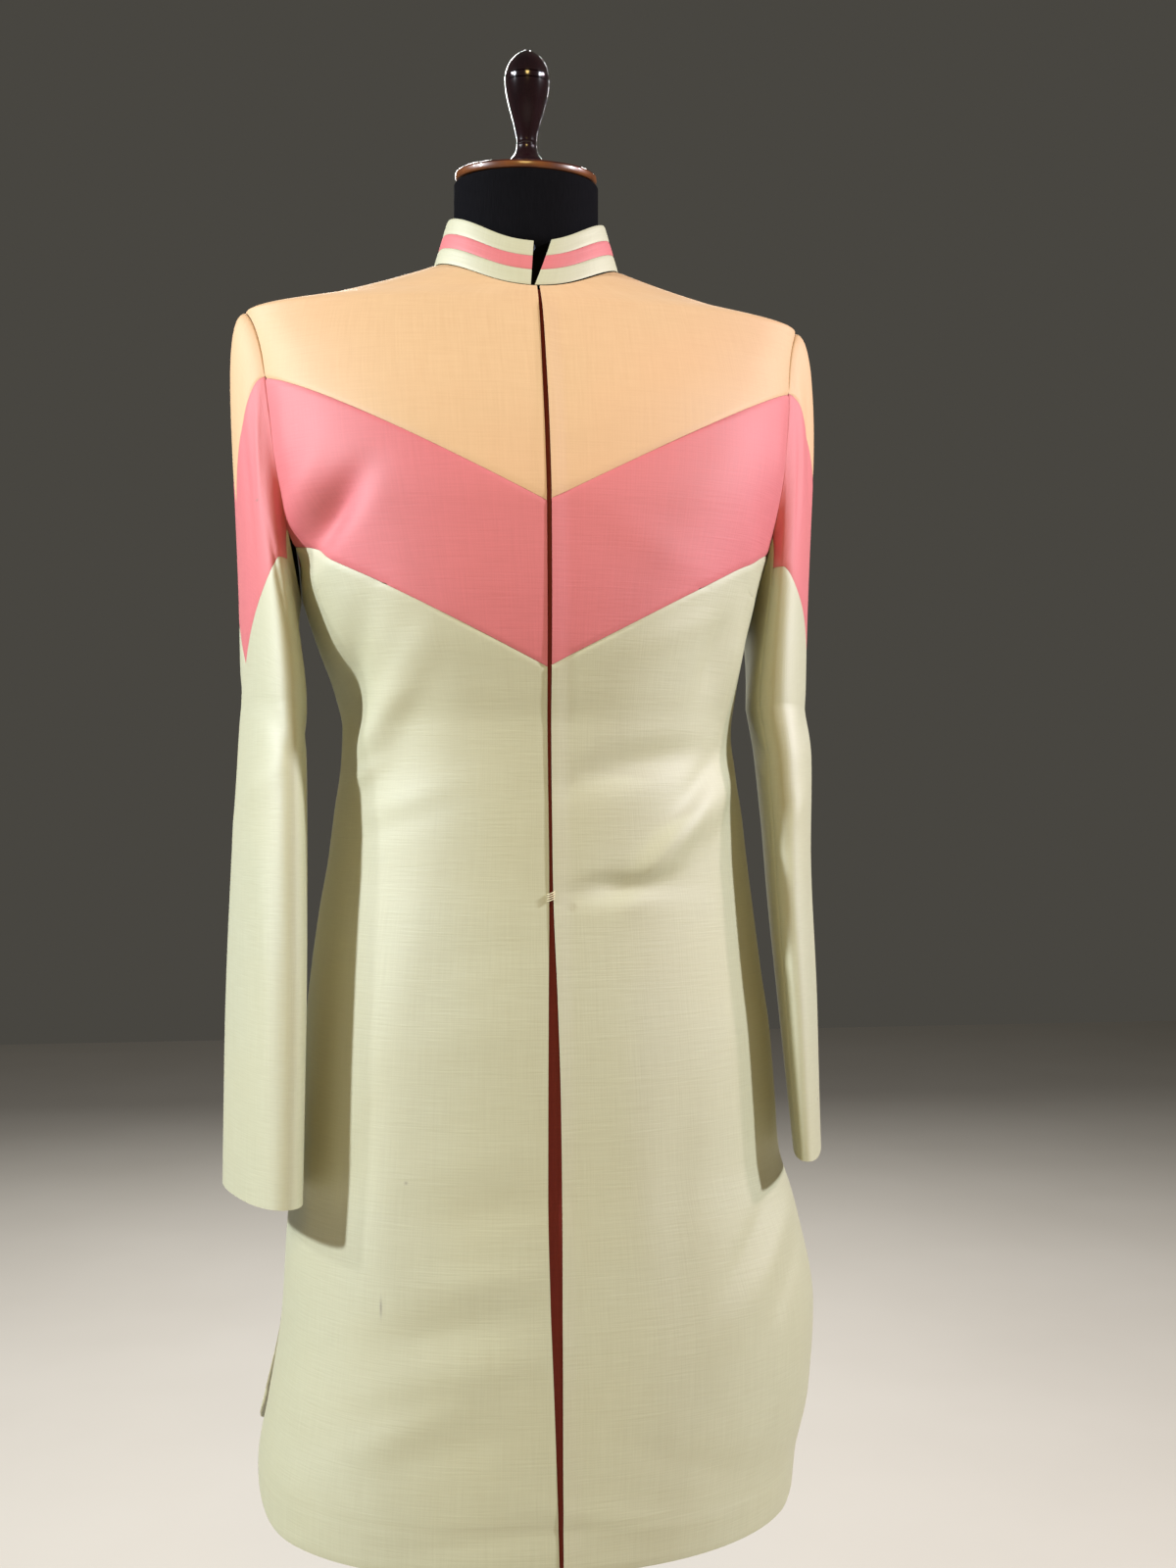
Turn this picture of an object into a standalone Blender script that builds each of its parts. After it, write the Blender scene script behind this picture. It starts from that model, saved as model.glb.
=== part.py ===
# Knee-length panelled coat with a stand collar, worn by a limbless dress form on a pole stand
import math

import bmesh
import bpy
from mathutils import Matrix, Vector

# Cloth wall, seam gaps and clearances in metres
CLOTH = 0.0012
SEAM_GAP = 0.0004
EDGE_GAP = 0.00015
SOLID_GAP = 0.0003
NORMAL_STEP = 0.0004

# Heights above the floor
SHOULDER_TIP = 1.443
NECK_SIDE = 1.4846
ARMHOLE_BOTTOM = 1.222
ARMHOLE_MID = (SHOULDER_TIP + ARMHOLE_BOTTOM) / 2
ARMHOLE_RISE = (SHOULDER_TIP - ARMHOLE_BOTTOM) / 2
SLIT_TOP = 0.674
FRONT_HEM = 0.532
BACK_HEM = 0.560
HEM_CORNER_START = 0.66
BACK_CORNER_START = 0.45
RIGHT_CORNER_RISE = 0.050
LEFT_CORNER_RISE = 0.070
SLIT_SPREAD = 0.004
BACK_SLIT_SHARE = 0.5
RIGHT_BACK_FLARE = 0.005
LEFT_BACK_FLARE = 0.010

# Half breadths of the armhole loop, and of the neck oval
ARMHOLE_FRONT = 0.059
ARMHOLE_BACK = 0.064
ARMHOLE_SKEW = 0.25
NECK_HALF = 0.073
NECK_DEPTH = 0.062

# Slanted seams: height at the centre and rise for each metre sideways
UPPER_SEAM = 1.280
LOWER_SEAM = 1.1628
SEAM_SLOPE = 0.515

# Front opening: the left front laps over with a raised edge
LAP_LIFT = 0.0022
LAP_REACH = 0.020
LAP_END = 1.452
STRIP_DEPTH = 0.0027
STRIP_WALL = 0.0010
STRIP_OVERLAP = 0.008
STRIP_HEM_RISE = 0.004
STRIP_NECK_DROP = 0.002

# Coat rings: width to each side, depth to front and back, squareness of the oval
BODY_COLUMNS = ("height", "right_half", "left_half", "front_depth", "back_depth", "square")
BODY_ROWS = (
    (0.500, 0.2080, 0.2060, 0.1740, 0.1720, 2.20),
    (0.560, 0.2080, 0.2110, 0.1710, 0.1680, 2.20),
    (0.610, 0.2000, 0.2225, 0.1680, 0.1650, 2.20),
    (0.674, 0.1900, 0.2270, 0.1640, 0.1620, 2.20),
    (0.742, 0.1860, 0.2150, 0.1590, 0.1580, 2.20),
    (0.800, 0.1795, 0.1985, 0.1550, 0.1530, 2.20),
    (0.838, 0.1765, 0.1960, 0.1530, 0.1510, 2.20),
    (0.891, 0.1724, 0.1915, 0.1500, 0.1460, 2.20),
    (0.933, 0.1682, 0.1852, 0.1470, 0.1410, 2.20),
    (0.984, 0.1612, 0.1785, 0.1430, 0.1340, 2.20),
    (1.017, 0.1553, 0.1742, 0.1410, 0.1300, 2.20),
    (1.060, 0.1497, 0.1690, 0.1400, 0.1250, 2.20),
    (1.094, 0.1450, 0.1630, 0.1395, 0.1225, 2.20),
    (1.122, 0.1439, 0.1605, 0.1400, 0.1220, 2.25),
    (1.150, 0.1497, 0.1635, 0.1440, 0.1240, 2.30),
    (1.187, 0.1630, 0.1690, 0.1490, 0.1300, 2.40),
    (1.222, 0.1745, 0.1775, 0.1505, 0.1355, 2.50),
    (1.280, 0.1920, 0.1935, 0.1480, 0.1370, 2.60),
    (1.325, 0.2010, 0.2020, 0.1380, 0.1320, 2.75),
    (1.357, 0.2048, 0.2055, 0.1270, 0.1270, 2.75),
    (1.400, 0.2110, 0.2110, 0.1050, 0.1150, 2.45),
    (1.443, 0.2175, 0.2175, 0.0750, 0.0960, 2.00),
    (1.457, 0.1590, 0.1590, 0.0620, 0.0850, 1.95),
    (1.471, 0.1100, 0.1100, 0.0520, 0.0750, 1.95),
    (1.4846, 0.0730, 0.0730, 0.0420, 0.0660, 2.00),
    (1.495, 0.0600, 0.0600, 0.0350, 0.0590, 2.00),
)

# Front opening: where its middle runs, and how far apart the two edges lie
OPENING_COLUMNS = ("height", "middle", "gap")
OPENING_ROWS = (
    (0.530, 0.0068, 0.0026),
    (0.590, 0.0062, 0.0040),
    (0.650, 0.0055, 0.0060),
    (0.720, 0.0046, 0.0085),
    (0.780, 0.0043, 0.0098),
    (0.850, 0.0043, 0.0090),
    (0.930, 0.0038, 0.0062),
    (0.990, 0.0032, 0.0032),
    (1.030, 0.0029, 0.0024),
    (1.250, 0.0010, 0.0033),
    (1.350, 0.0010, 0.0034),
    (1.460, 0.0030, 0.0022),
)

# Large folds: place across and up, tilt in degrees, half length, half width, height outward
FOLD_COLUMNS = ("face", "across", "up", "tilt", "length", "width", "rise")
FOLD_ROWS = (
    ("front", -0.155, 1.285, 100.0, 0.034, 0.018, -0.0060),
    ("front", -0.120, 1.122, 65.0, 0.052, 0.013, 0.0055),
    ("front", -0.141, 1.140, 84.0, 0.055, 0.012, -0.0045),
    ("front", 0.102, 1.045, 46.0, 0.048, 0.013, 0.0055),
    ("front", 0.060, 1.006, 4.0, 0.036, 0.009, -0.0030),
    ("front", 0.072, 1.096, 12.0, 0.050, 0.013, -0.0030),
    ("front", 0.150, 1.180, 80.0, 0.040, 0.010, 0.0030),
    ("front", 0.168, 0.722, 58.0, 0.045, 0.010, 0.0030),
    ("front", -0.070, 0.668, 14.0, 0.055, 0.014, 0.0028),
    ("front", -0.066, 0.700, 12.0, 0.050, 0.012, -0.0024),
    ("back", 0.055, 1.115, 12.0, 0.060, 0.014, -0.0040),
    ("back", -0.070, 1.060, 164.0, 0.060, 0.014, 0.0040),
    ("back", 0.110, 1.290, 100.0, 0.050, 0.016, -0.0040),
    ("back", -0.060, 0.760, 80.0, 0.120, 0.022, 0.0040),
)

# Folds fade out across the side seams, so that front and back edges stay together
SIDE_FADE_END = 0.010
SIDE_FADE_REACH = 0.050

# Sleeve rings: place and size of the flattened oval, and its turn inward at the front
SLEEVE_COLUMNS = ("height", "across", "forward", "thick", "broad", "turn")
RIGHT_SLEEVE_ROWS = (
    (0.779, 0.2025, 0.062, 0.0210, 0.0625, 21.0),
    (0.900, 0.2010, 0.051, 0.0212, 0.0670, 20.0),
    (1.020, 0.1990, 0.034, 0.0218, 0.0720, 16.0),
    (1.100, 0.1975, 0.018, 0.0212, 0.0760, 13.0),
    (1.140, 0.1968, 0.009, 0.0206, 0.0785, 12.0),
)
LEFT_SLEEVE_ROWS = (
    (0.800, 0.2140, 0.052, 0.0108, 0.0625, 15.0),
    (0.900, 0.2088, 0.044, 0.0145, 0.0670, 14.0),
    (1.020, 0.2035, 0.031, 0.0180, 0.0720, 13.0),
    (1.100, 0.2035, 0.017, 0.0225, 0.0760, 13.0),
    (1.140, 0.2020, 0.000, 0.0240, 0.0785, 13.0),
)
SLEEVE_SQUARE = 2.3
SLEEVE_RING_TOP = 1.140
FRONT_SLEEVE_SEAM = -30.0
BACK_SLEEVE_SEAM = 205.0
SLEEVE_SEAM_ANGLE = 0.28
SLEEVE_SEAT = 0.0007
SLEEVE_SEAM_GAP = 0.0018
CAP_INSET = 0.5
CAP_LAST_CLIMB = 1.994
UPPER_SLEEVE_TIP = 1.295
UPPER_SLEEVE_RISE = 0.090
UPPER_SLEEVE_SPAN = 62.0
LOWER_SLEEVE_TIP = 1.172
LOWER_SLEEVE_RISE = 0.075
LOWER_SLEEVE_SPAN = 90.0
SLEEVE_SEAM_BEND = 1.5
CAP_PUFF = 0.050
CAP_PUFF_UNDER = 0.25
CAP_PUFF_UPPER = 1.35
CAP_CLIMB = 0.85
CAP_CLIMB_UPPER = 0.35
CAP_LEVEL = 0.45

# Stand collar
COLLAR_RISE = 0.0365
COLLAR_SEAT = 0.0008
COLLAR_TOP_HALF = 0.062
COLLAR_TOP_DEPTH = 0.052
NOTCH_BASE_MIDDLE = -0.0005
NOTCH_TOP_MIDDLE = 0.0030
NOTCH_BASE = 0.0006
NOTCH_TOP = 0.0028
COLLAR_BANDS = (("collar_lower_band", 0.0, 0.345, "cream"),
                ("collar_coral_band", 0.345, 0.655, "coral"),
                ("collar_upper_band", 0.655, 1.0, "cream"))
BAND_GAP = 0.010
HOOK_WIRE = 0.00045
HOOK_SIZE = 0.0032

# Dress form: how far it lies inside the coat, and its neck
FORM_COLUMNS = ("height", "side", "front", "back")
FORM_ROWS = (
    (0.715, 0.030, 0.045, 0.035),
    (0.760, 0.020, 0.036, 0.026),
    (0.900, 0.012, 0.024, 0.014),
    (1.020, 0.012, 0.020, 0.012),
    (1.120, 0.012, 0.024, 0.014),
    (1.222, 0.014, 0.016, 0.012),
    (1.290, 0.022, 0.013, 0.010),
    (1.357, 0.026, 0.011, 0.009),
    (1.410, 0.019, 0.009, 0.007),
    (1.436, 0.020, 0.0080, 0.0050),
    (1.448, 0.0095, 0.0075, 0.0042),
    (1.458, 0.0070, 0.0075, 0.0040),
    (1.4846, 0.0070, 0.0060, 0.0060),
)
FORM_BOTTOM = 0.715
FORM_SHOULDER_END = 1.478
FORM_NECK_LOW = 1.497
FORM_NECK_TOP = 1.550
FORM_NECK_HALF = 0.0570
FORM_NECK_DEPTH = 0.0480
FORM_BOTTOM_ROUND = 0.012
CAP_HALF = 0.0558
CAP_DEPTH = 0.0470
CAP_THICK = 0.0070
CAP_TILT = 5.0
CAP_EDGE = 0.0022

# Finial profile, radius and height above its foot
FINIAL_ROWS = (
    (0.0128, 0.0000), (0.0136, 0.0040), (0.0139, 0.0075), (0.0134, 0.0098), (0.0118, 0.0118),
    (0.0096, 0.0145), (0.0082, 0.0184), (0.0076, 0.0235), (0.0080, 0.0285), (0.0092, 0.0340),
    (0.0118, 0.0436), (0.0145, 0.0532), (0.0166, 0.0630), (0.0173, 0.0690), (0.0168, 0.0697),
    (0.0173, 0.0704), (0.0174, 0.0722), (0.0169, 0.0730), (0.0172, 0.0738), (0.0163, 0.0790),
    (0.0148, 0.0830), (0.0122, 0.0872), (0.0076, 0.0918), (0.0036, 0.0943), (0.0000, 0.0950),
)

# Stand
POLE_RADIUS = 0.0175
BASE_RADIUS = 0.180
BASE_THICK = 0.028
BASE_EDGE = 0.006

# Mesh fineness
PANEL_COLUMNS = 10
COLLAR_COLUMNS = 28
FORM_COLUMNS_ROUND = 30
ROUND_SEGMENTS = 20
STRIP_ROWS = 20

# Colour, roughness and metallic value of each material
LOOKS = {
    "peach": ((0.90, 0.68, 0.38), 0.55, 0.0),
    "coral": ((0.80, 0.25, 0.27), 0.55, 0.0),
    "cream": ((0.66, 0.62, 0.45), 0.45, 0.0),
    "rust": ((0.22, 0.03, 0.02), 0.6, 0.0),
    "jersey": ((0.012, 0.012, 0.014), 0.85, 0.0),
    "lacquer": ((0.045, 0.010, 0.008), 0.25, 0.0),
    "burgundy": ((0.020, 0.006, 0.008), 0.15, 0.0),
    "metal": ((0.05, 0.05, 0.06), 0.4, 0.9),
    "navy": ((0.01, 0.012, 0.04), 0.5, 0.0),
}


class Curve:
    """Smooth line through a table's points that never overshoots them"""

    def __init__(self, places, values):
        self.places = places
        self.values = values
        steps = []
        for index in range(len(places) - 1):
            steps.append((values[index + 1] - values[index]) / (places[index + 1] - places[index]))
        self.slopes = [steps[0]]
        for before, after in zip(steps, steps[1:]):
            if before * after <= 0.0:
                self.slopes.append(0.0)
            else:
                self.slopes.append(2.0 * before * after / (before + after))
        self.slopes.append(steps[-1])

    def at(self, place):
        last = len(self.places) - 1
        place = min(max(place, self.places[0]), self.places[last])
        index = 0
        while index < last - 1 and place > self.places[index + 1]:
            index += 1
        span = self.places[index + 1] - self.places[index]
        part = (place - self.places[index]) / span
        squared = part * part
        cubed = squared * part
        start = self.values[index] * (2 * cubed - 3 * squared + 1)
        start += self.slopes[index] * span * (cubed - 2 * squared + part)
        end = self.values[index + 1] * (3 * squared - 2 * cubed)
        end += self.slopes[index + 1] * span * (cubed - squared)
        return start + end


def curves(columns, rows):
    places = [row[0] for row in rows]
    found = {}
    for index, name in enumerate(columns[1:], start=1):
        found[name] = Curve(places, [row[index] for row in rows])
    return found


body = curves(BODY_COLUMNS, BODY_ROWS)
opening = curves(OPENING_COLUMNS, OPENING_ROWS)
form = curves(FORM_COLUMNS, FORM_ROWS)
sleeves = {-1: curves(SLEEVE_COLUMNS, RIGHT_SLEEVE_ROWS), 1: curves(SLEEVE_COLUMNS, LEFT_SLEEVE_ROWS)}
sleeve_cuff = {-1: RIGHT_SLEEVE_ROWS[0][0], 1: LEFT_SLEEVE_ROWS[0][0]}
folds = [dict(zip(FOLD_COLUMNS, row)) for row in FOLD_ROWS]


def smooth(part):
    part = min(max(part, 0.0), 1.0)
    return part * part * (3.0 - 2.0 * part)


def mix(low, high, part):
    return low + (high - low) * part


def half_width(side, height, back):
    name = "left_half" if side > 0 else "right_half"
    flare = LEFT_BACK_FLARE if side > 0 else RIGHT_BACK_FLARE
    wide = body[name].at(height)
    if back:
        wide += flare * smooth((SLIT_TOP - height) / (SLIT_TOP - BACK_HEM))
    return wide


def ring_place(turn, half, depth, square):
    across = math.sin(turn)
    along = math.cos(turn)
    reach = (abs(across) ** square + abs(along) ** square) ** (-1.0 / square)
    return half * reach * across, -depth * reach * along


def plain_point(side, turn, height, back):
    depth = body["back_depth" if turn > math.pi / 2 else "front_depth"].at(height)
    across, along = ring_place(turn, half_width(side, height, back), depth, body["square"].at(height))
    return Vector((side * across, along, height))


def fold_rise(point):
    rise = 0.0
    for fold in folds:
        inside = point.y if fold["face"] == "front" else -point.y
        fade = smooth((SIDE_FADE_END - inside) / SIDE_FADE_REACH)
        tilt = math.radians(fold["tilt"])
        aside = point.x - fold["across"]
        above = point.z - fold["up"]
        along = aside * math.cos(tilt) + above * math.sin(tilt)
        over = above * math.cos(tilt) - aside * math.sin(tilt)
        spread = (along / fold["length"]) ** 2 + (over / fold["width"]) ** 2
        rise += fade * fold["rise"] * math.exp(-spread)
    return rise


def plain_normal(side, turn, height, back):
    swing = NORMAL_STEP / 0.15
    one = plain_point(side, turn + swing, height, back) - plain_point(side, turn - swing, height, back)
    two = plain_point(side, turn, height + NORMAL_STEP, back)
    two -= plain_point(side, turn, height - NORMAL_STEP, back)
    normal = one.cross(two)
    normal.normalize()
    return normal * side


def coat_point(side, turn, height, back, inward=0.0):
    point = plain_point(side, turn, height, back)
    normal = plain_normal(side, turn, height, back)
    lift = fold_rise(point)
    if side > 0 and not back:
        edge = abs(point.x - opening["middle"].at(height)) / LAP_REACH
        lift += LAP_LIFT * (1.0 - smooth(edge)) * smooth((LAP_END - height) / LAP_REACH)
    return point + normal * (lift - inward)


def armhole_turn(height, back):
    if height >= SHOULDER_TIP or height <= ARMHOLE_BOTTOM:
        return math.pi / 2
    climb = (height - ARMHOLE_MID) / ARMHOLE_RISE
    level = math.sqrt(1.0 - climb * climb)
    reach = ARMHOLE_BACK if back else ARMHOLE_FRONT
    out = reach * level * (1.0 - ARMHOLE_SKEW * climb)
    depth = body["back_depth" if back else "front_depth"].at(height)
    square = body["square"].at(height)
    part = out / depth
    wide = (1.0 - part ** square) ** (1.0 / square)
    turn = math.atan2(wide, part)
    return math.pi - turn if back else turn


def edge_turn(side, height, back):
    if back:
        gap = EDGE_GAP
        if height < SLIT_TOP:
            gap += BACK_SLIT_SHARE * SLIT_SPREAD * (SLIT_TOP - height) / (SLIT_TOP - BACK_HEM)
        return armhole_turn(height, True) + gap / body["back_depth"].at(height)
    gap = EDGE_GAP
    if height < SLIT_TOP:
        gap += SLIT_SPREAD * (SLIT_TOP - height) / (SLIT_TOP - FRONT_HEM)
    return armhole_turn(height, False) - gap / body["front_depth"].at(height)


def centre_turn(side, height, back):
    if back:
        return math.pi - math.asin(EDGE_GAP / half_width(side, height, True))
    edge = side * opening["middle"].at(height) + opening["gap"].at(height) / 2
    return math.asin(edge / half_width(side, height, False))


def panel_turn(side, part, height, back):
    return mix(centre_turn(side, height, back), edge_turn(side, height, back), part)


def seam_height(side, part, back, centre, shift):
    low, high = centre - 0.02, SHOULDER_TIP
    for _ in range(40):
        middle = (low + high) / 2
        spot = plain_point(side, panel_turn(side, part, middle, back), middle, back)
        if middle < centre + SEAM_SLOPE * abs(spot.x):
            low = middle
        else:
            high = middle
    return (low + high) / 2 + shift


def neck_height(side, turn, back):
    low, high = SHOULDER_TIP, BODY_ROWS[-1][0]
    for _ in range(40):
        middle = (low + high) / 2
        spot = plain_point(side, turn, middle, back)
        if (spot.x / NECK_HALF) ** 2 + (spot.y / NECK_DEPTH) ** 2 > 1.0:
            low = middle
        else:
            high = middle
    return (low + high) / 2


def hem_height(side, part, back):
    level = BACK_HEM if back else FRONT_HEM
    start = BACK_CORNER_START if back else HEM_CORNER_START
    corner = max(0.0, (part - start) / (1.0 - start))
    rise = LEFT_CORNER_RISE if side > 0 else RIGHT_CORNER_RISE
    return level + rise * (1.0 - math.sqrt(1.0 - min(corner, 1.0) ** 2))


def lower_stops(side, part, back):
    top = seam_height(side, part, back, LOWER_SEAM, -SEAM_GAP / 2)
    edge_top = seam_height(side, 1.0, back, LOWER_SEAM, -SEAM_GAP / 2)
    return ((hem_height(side, part, back), 0), (SLIT_TOP, 5), (top - (edge_top - ARMHOLE_BOTTOM), 17), (top, 19))


def chevron_stops(side, part, back):
    low = seam_height(side, part, back, LOWER_SEAM, SEAM_GAP / 2)
    top = seam_height(side, part, back, UPPER_SEAM, -SEAM_GAP / 2)
    return ((low, 0), (top, 4))


def yoke_stops(side, part, back):
    low = seam_height(side, part, back, UPPER_SEAM, SEAM_GAP / 2)
    turn = panel_turn(side, part, SHOULDER_TIP, back)
    return ((low, 0), (SHOULDER_TIP, 4), (neck_height(side, turn, back), 9))


def height_at(stops, row):
    for (low, first), (high, last) in zip(stops, stops[1:]):
        if row <= last + 1e-6:
            return mix(low, high, (row - first) / (last - first))
    return stops[-1][0]


def material(name):
    found = bpy.data.materials.get(name)
    if found:
        return found
    colour, roughness, metallic = LOOKS[name]
    found = bpy.data.materials.new(name)
    found.use_nodes = True
    shader = found.node_tree.nodes["Principled BSDF"]
    shader.inputs["Base Color"].default_value = (*colour, 1.0)
    shader.inputs["Roughness"].default_value = roughness
    shader.inputs["Metallic"].default_value = metallic
    return found


def finish(name, mesh, look):
    bmesh.ops.recalc_face_normals(mesh, faces=mesh.faces[:])
    if mesh.calc_volume(signed=True) < 0.0:
        bmesh.ops.reverse_faces(mesh, faces=mesh.faces[:])
    data = bpy.data.meshes.new(name)
    mesh.to_mesh(data)
    mesh.free()
    data.shade_smooth()
    data.set_sharp_from_angle(angle=math.radians(40))
    data.materials.append(material(look))
    thing = bpy.data.objects.new(name, data)
    bpy.context.scene.collection.objects.link(thing)
    return thing


def cloth_piece(name, columns, rows, outer, inner, look):
    mesh = bmesh.new()
    bmesh.ops.create_grid(mesh, x_segments=columns, y_segments=rows, size=1.0)
    across = mesh.verts.layers.float.new("across")
    upward = mesh.verts.layers.float.new("upward")
    for vert in mesh.verts:
        vert[across] = (vert.co.x + 1.0) / 2
        vert[upward] = (vert.co.y + 1.0) / 2 * rows
    wall = bmesh.ops.extrude_face_region(mesh, geom=mesh.faces[:])
    inside = {item for item in wall["geom"] if isinstance(item, bmesh.types.BMVert)}
    for vert in mesh.verts:
        place = inner if vert in inside else outer
        vert.co = place(vert[across], vert[upward])
    return finish(name, mesh, look)


def body_panel(name, side, back, stops, look):
    rows = stops(side, 0.0, back)[-1][1]

    def place(part, row, inward):
        height = height_at(stops(side, part, back), row)
        return coat_point(side, panel_turn(side, part, height, back), height, back, inward)

    def outer(part, row):
        return place(part, row, 0.0)

    def inner(part, row):
        return place(part, row, CLOTH)

    return cloth_piece(name, PANEL_COLUMNS, rows, outer, inner, look)


# Armhole loop point: 0 front, 90 shoulder tip, 180 back, 270 under the arm
def armhole_point(side, angle):
    height = ARMHOLE_MID + ARMHOLE_RISE * math.sin(math.radians(angle))
    height = min(max(height, ARMHOLE_BOTTOM), SHOULDER_TIP)
    back = math.cos(math.radians(angle)) < 0
    turn = armhole_turn(height, back)
    point = plain_point(side, turn, height, back)
    return point + Vector((side * SLEEVE_SEAT, 0.0, 0.0))


def sleeve_ring(side, angle, height, inward):
    table = sleeves[side]
    turn = math.radians(table["turn"].at(height))
    swing = math.radians(angle)
    thick = table["thick"].at(height) - inward
    broad = table["broad"].at(height) - inward
    aside, ahead = ring_place(swing, thick, broad, SLEEVE_SQUARE)
    across = table["across"].at(height) + aside * math.cos(turn) + ahead * math.sin(turn)
    along = -table["forward"].at(height) + ahead * math.cos(turn) - aside * math.sin(turn)
    return Vector((side * across, along, height))


# Sleeve point: climb 0 to 1 from cuff to the top ring, 1 to 2 from there to the armhole
def sleeve_outer(side, angle, climb):
    cuff = sleeve_cuff[side]
    if climb <= 1.0:
        return sleeve_ring(side, angle, mix(cuff, SLEEVE_RING_TOP, climb), 0.0)
    part = climb - 1.0
    start = sleeve_ring(side, angle, SLEEVE_RING_TOP, 0.0)
    end = armhole_point(side, angle)
    rise = (end - start).length
    upper = max(0.0, math.sin(math.radians(angle)))
    first = Vector((0.0, 0.0, rise * (CAP_CLIMB + CAP_CLIMB_UPPER * upper)))
    puff = CAP_PUFF * (CAP_PUFF_UNDER + CAP_PUFF_UPPER * upper)
    last = Vector((-side * puff, 0.0, rise * CAP_LEVEL * (1.0 - upper)))
    squared = part * part
    cubed = squared * part
    point = start * (2 * cubed - 3 * squared + 1) + first * (cubed - 2 * squared + part)
    return point + end * (3 * squared - 2 * cubed) + last * (cubed - squared)


def sleeve_point(side, angle, climb, inward):
    point = sleeve_outer(side, angle, climb)
    if not inward:
        return point
    step = 0.004
    low = max(climb - step, 0.0)
    high = min(climb + step, 2.0)
    one = sleeve_outer(side, angle + 0.4, climb) - sleeve_outer(side, angle - 0.4, climb)
    two = sleeve_outer(side, angle, high) - sleeve_outer(side, angle, low)
    normal = one.cross(two)
    normal.normalize()
    return point - normal * side * inward


def sleeve_climb(side, angle, height, shift):
    top = sleeve_outer(side, angle, 2.0).z
    if height >= top:
        return 2.0
    low, high = 0.0, 2.0
    for _ in range(40):
        middle = (low + high) / 2
        if sleeve_outer(side, angle, middle).z < height + shift:
            low = middle
        else:
            high = middle
    return (low + high) / 2


# Sleeve seams leave their outer tip steeply and level out towards the armhole
def line_rise(angle, span):
    return 1.0 - (1.0 - min(abs(angle - 90.0) / span, 1.0)) ** SLEEVE_SEAM_BEND


def upper_line(angle):
    return UPPER_SLEEVE_TIP + UPPER_SLEEVE_RISE * line_rise(angle, UPPER_SLEEVE_SPAN)


def lower_line(angle):
    return LOWER_SLEEVE_TIP + LOWER_SLEEVE_RISE * line_rise(angle, LOWER_SLEEVE_SPAN)


def sleeve_piece(name, side, angles, climbs, look):
    columns = angles[-1][1]
    steps = climbs(angles[0][0])[-1][1]

    def place(part, row, inward):
        angle = height_at(angles, part * columns)
        climb = height_at(climbs(angle), row)
        return sleeve_point(side, angle, climb, inward)

    def outer(part, row):
        return place(part, row, 0.0)

    def inner(part, row):
        return place(part, row, CLOTH)

    return cloth_piece(name, columns, steps, outer, inner, look)


def build_sleeve(side, label):
    start = FRONT_SLEEVE_SEAM + SLEEVE_SEAM_ANGLE
    end = BACK_SLEEVE_SEAM - SLEEVE_SEAM_ANGLE
    cap_start = 90.0 - UPPER_SLEEVE_SPAN + CAP_INSET
    cap_end = 90.0 + UPPER_SLEEVE_SPAN - CAP_INSET
    under_start = BACK_SLEEVE_SEAM + SLEEVE_SEAM_ANGLE
    under_end = 360.0 + FRONT_SLEEVE_SEAM - SLEEVE_SEAM_ANGLE
    round_top = ((start, 0), (cap_start, 4), (cap_end, 12), (end, 16))
    round_cap = ((cap_start, 0), (cap_end, 8))
    round_under = ((under_start, 0), (under_end, 8))
    back_line = sleeve_climb(side, BACK_SLEEVE_SEAM, lower_line(BACK_SLEEVE_SEAM), 0.0)
    front_line = sleeve_climb(side, FRONT_SLEEVE_SEAM, lower_line(FRONT_SLEEVE_SEAM), 0.0)

    def lower_climbs(angle):
        top = sleeve_climb(side, angle, lower_line(angle), -SLEEVE_SEAM_GAP / 2)
        return ((0.0, 0), (1.0, 9), (top, 12))

    def band_climbs(angle):
        low = sleeve_climb(side, angle, lower_line(angle), SLEEVE_SEAM_GAP / 2)
        top = 2.0
        if abs(angle - 90.0) < UPPER_SLEEVE_SPAN:
            top = min(2.0, sleeve_climb(side, angle, upper_line(angle), -SLEEVE_SEAM_GAP / 2))
        return ((low, 0), (top, 5))

    def cap_climbs(angle):
        low = min(CAP_LAST_CLIMB, sleeve_climb(side, angle, upper_line(angle), SLEEVE_SEAM_GAP / 2))
        return ((low, 0), (2.0, 6))

    def under_climbs(angle):
        line = mix(back_line, front_line, (angle - under_start) / (under_end - under_start))
        return ((0.0, 0), (1.0, 9), (line, 12), (2.0, 14))

    sleeve_piece(label + "_sleeve_lower", side, round_top, lower_climbs, "cream")
    sleeve_piece(label + "_sleeve_band", side, round_top, band_climbs, "coral")
    sleeve_piece(label + "_sleeve_cap", side, round_cap, cap_climbs, "peach")
    sleeve_piece(label + "_under_sleeve", side, round_under, under_climbs, "cream")


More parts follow.
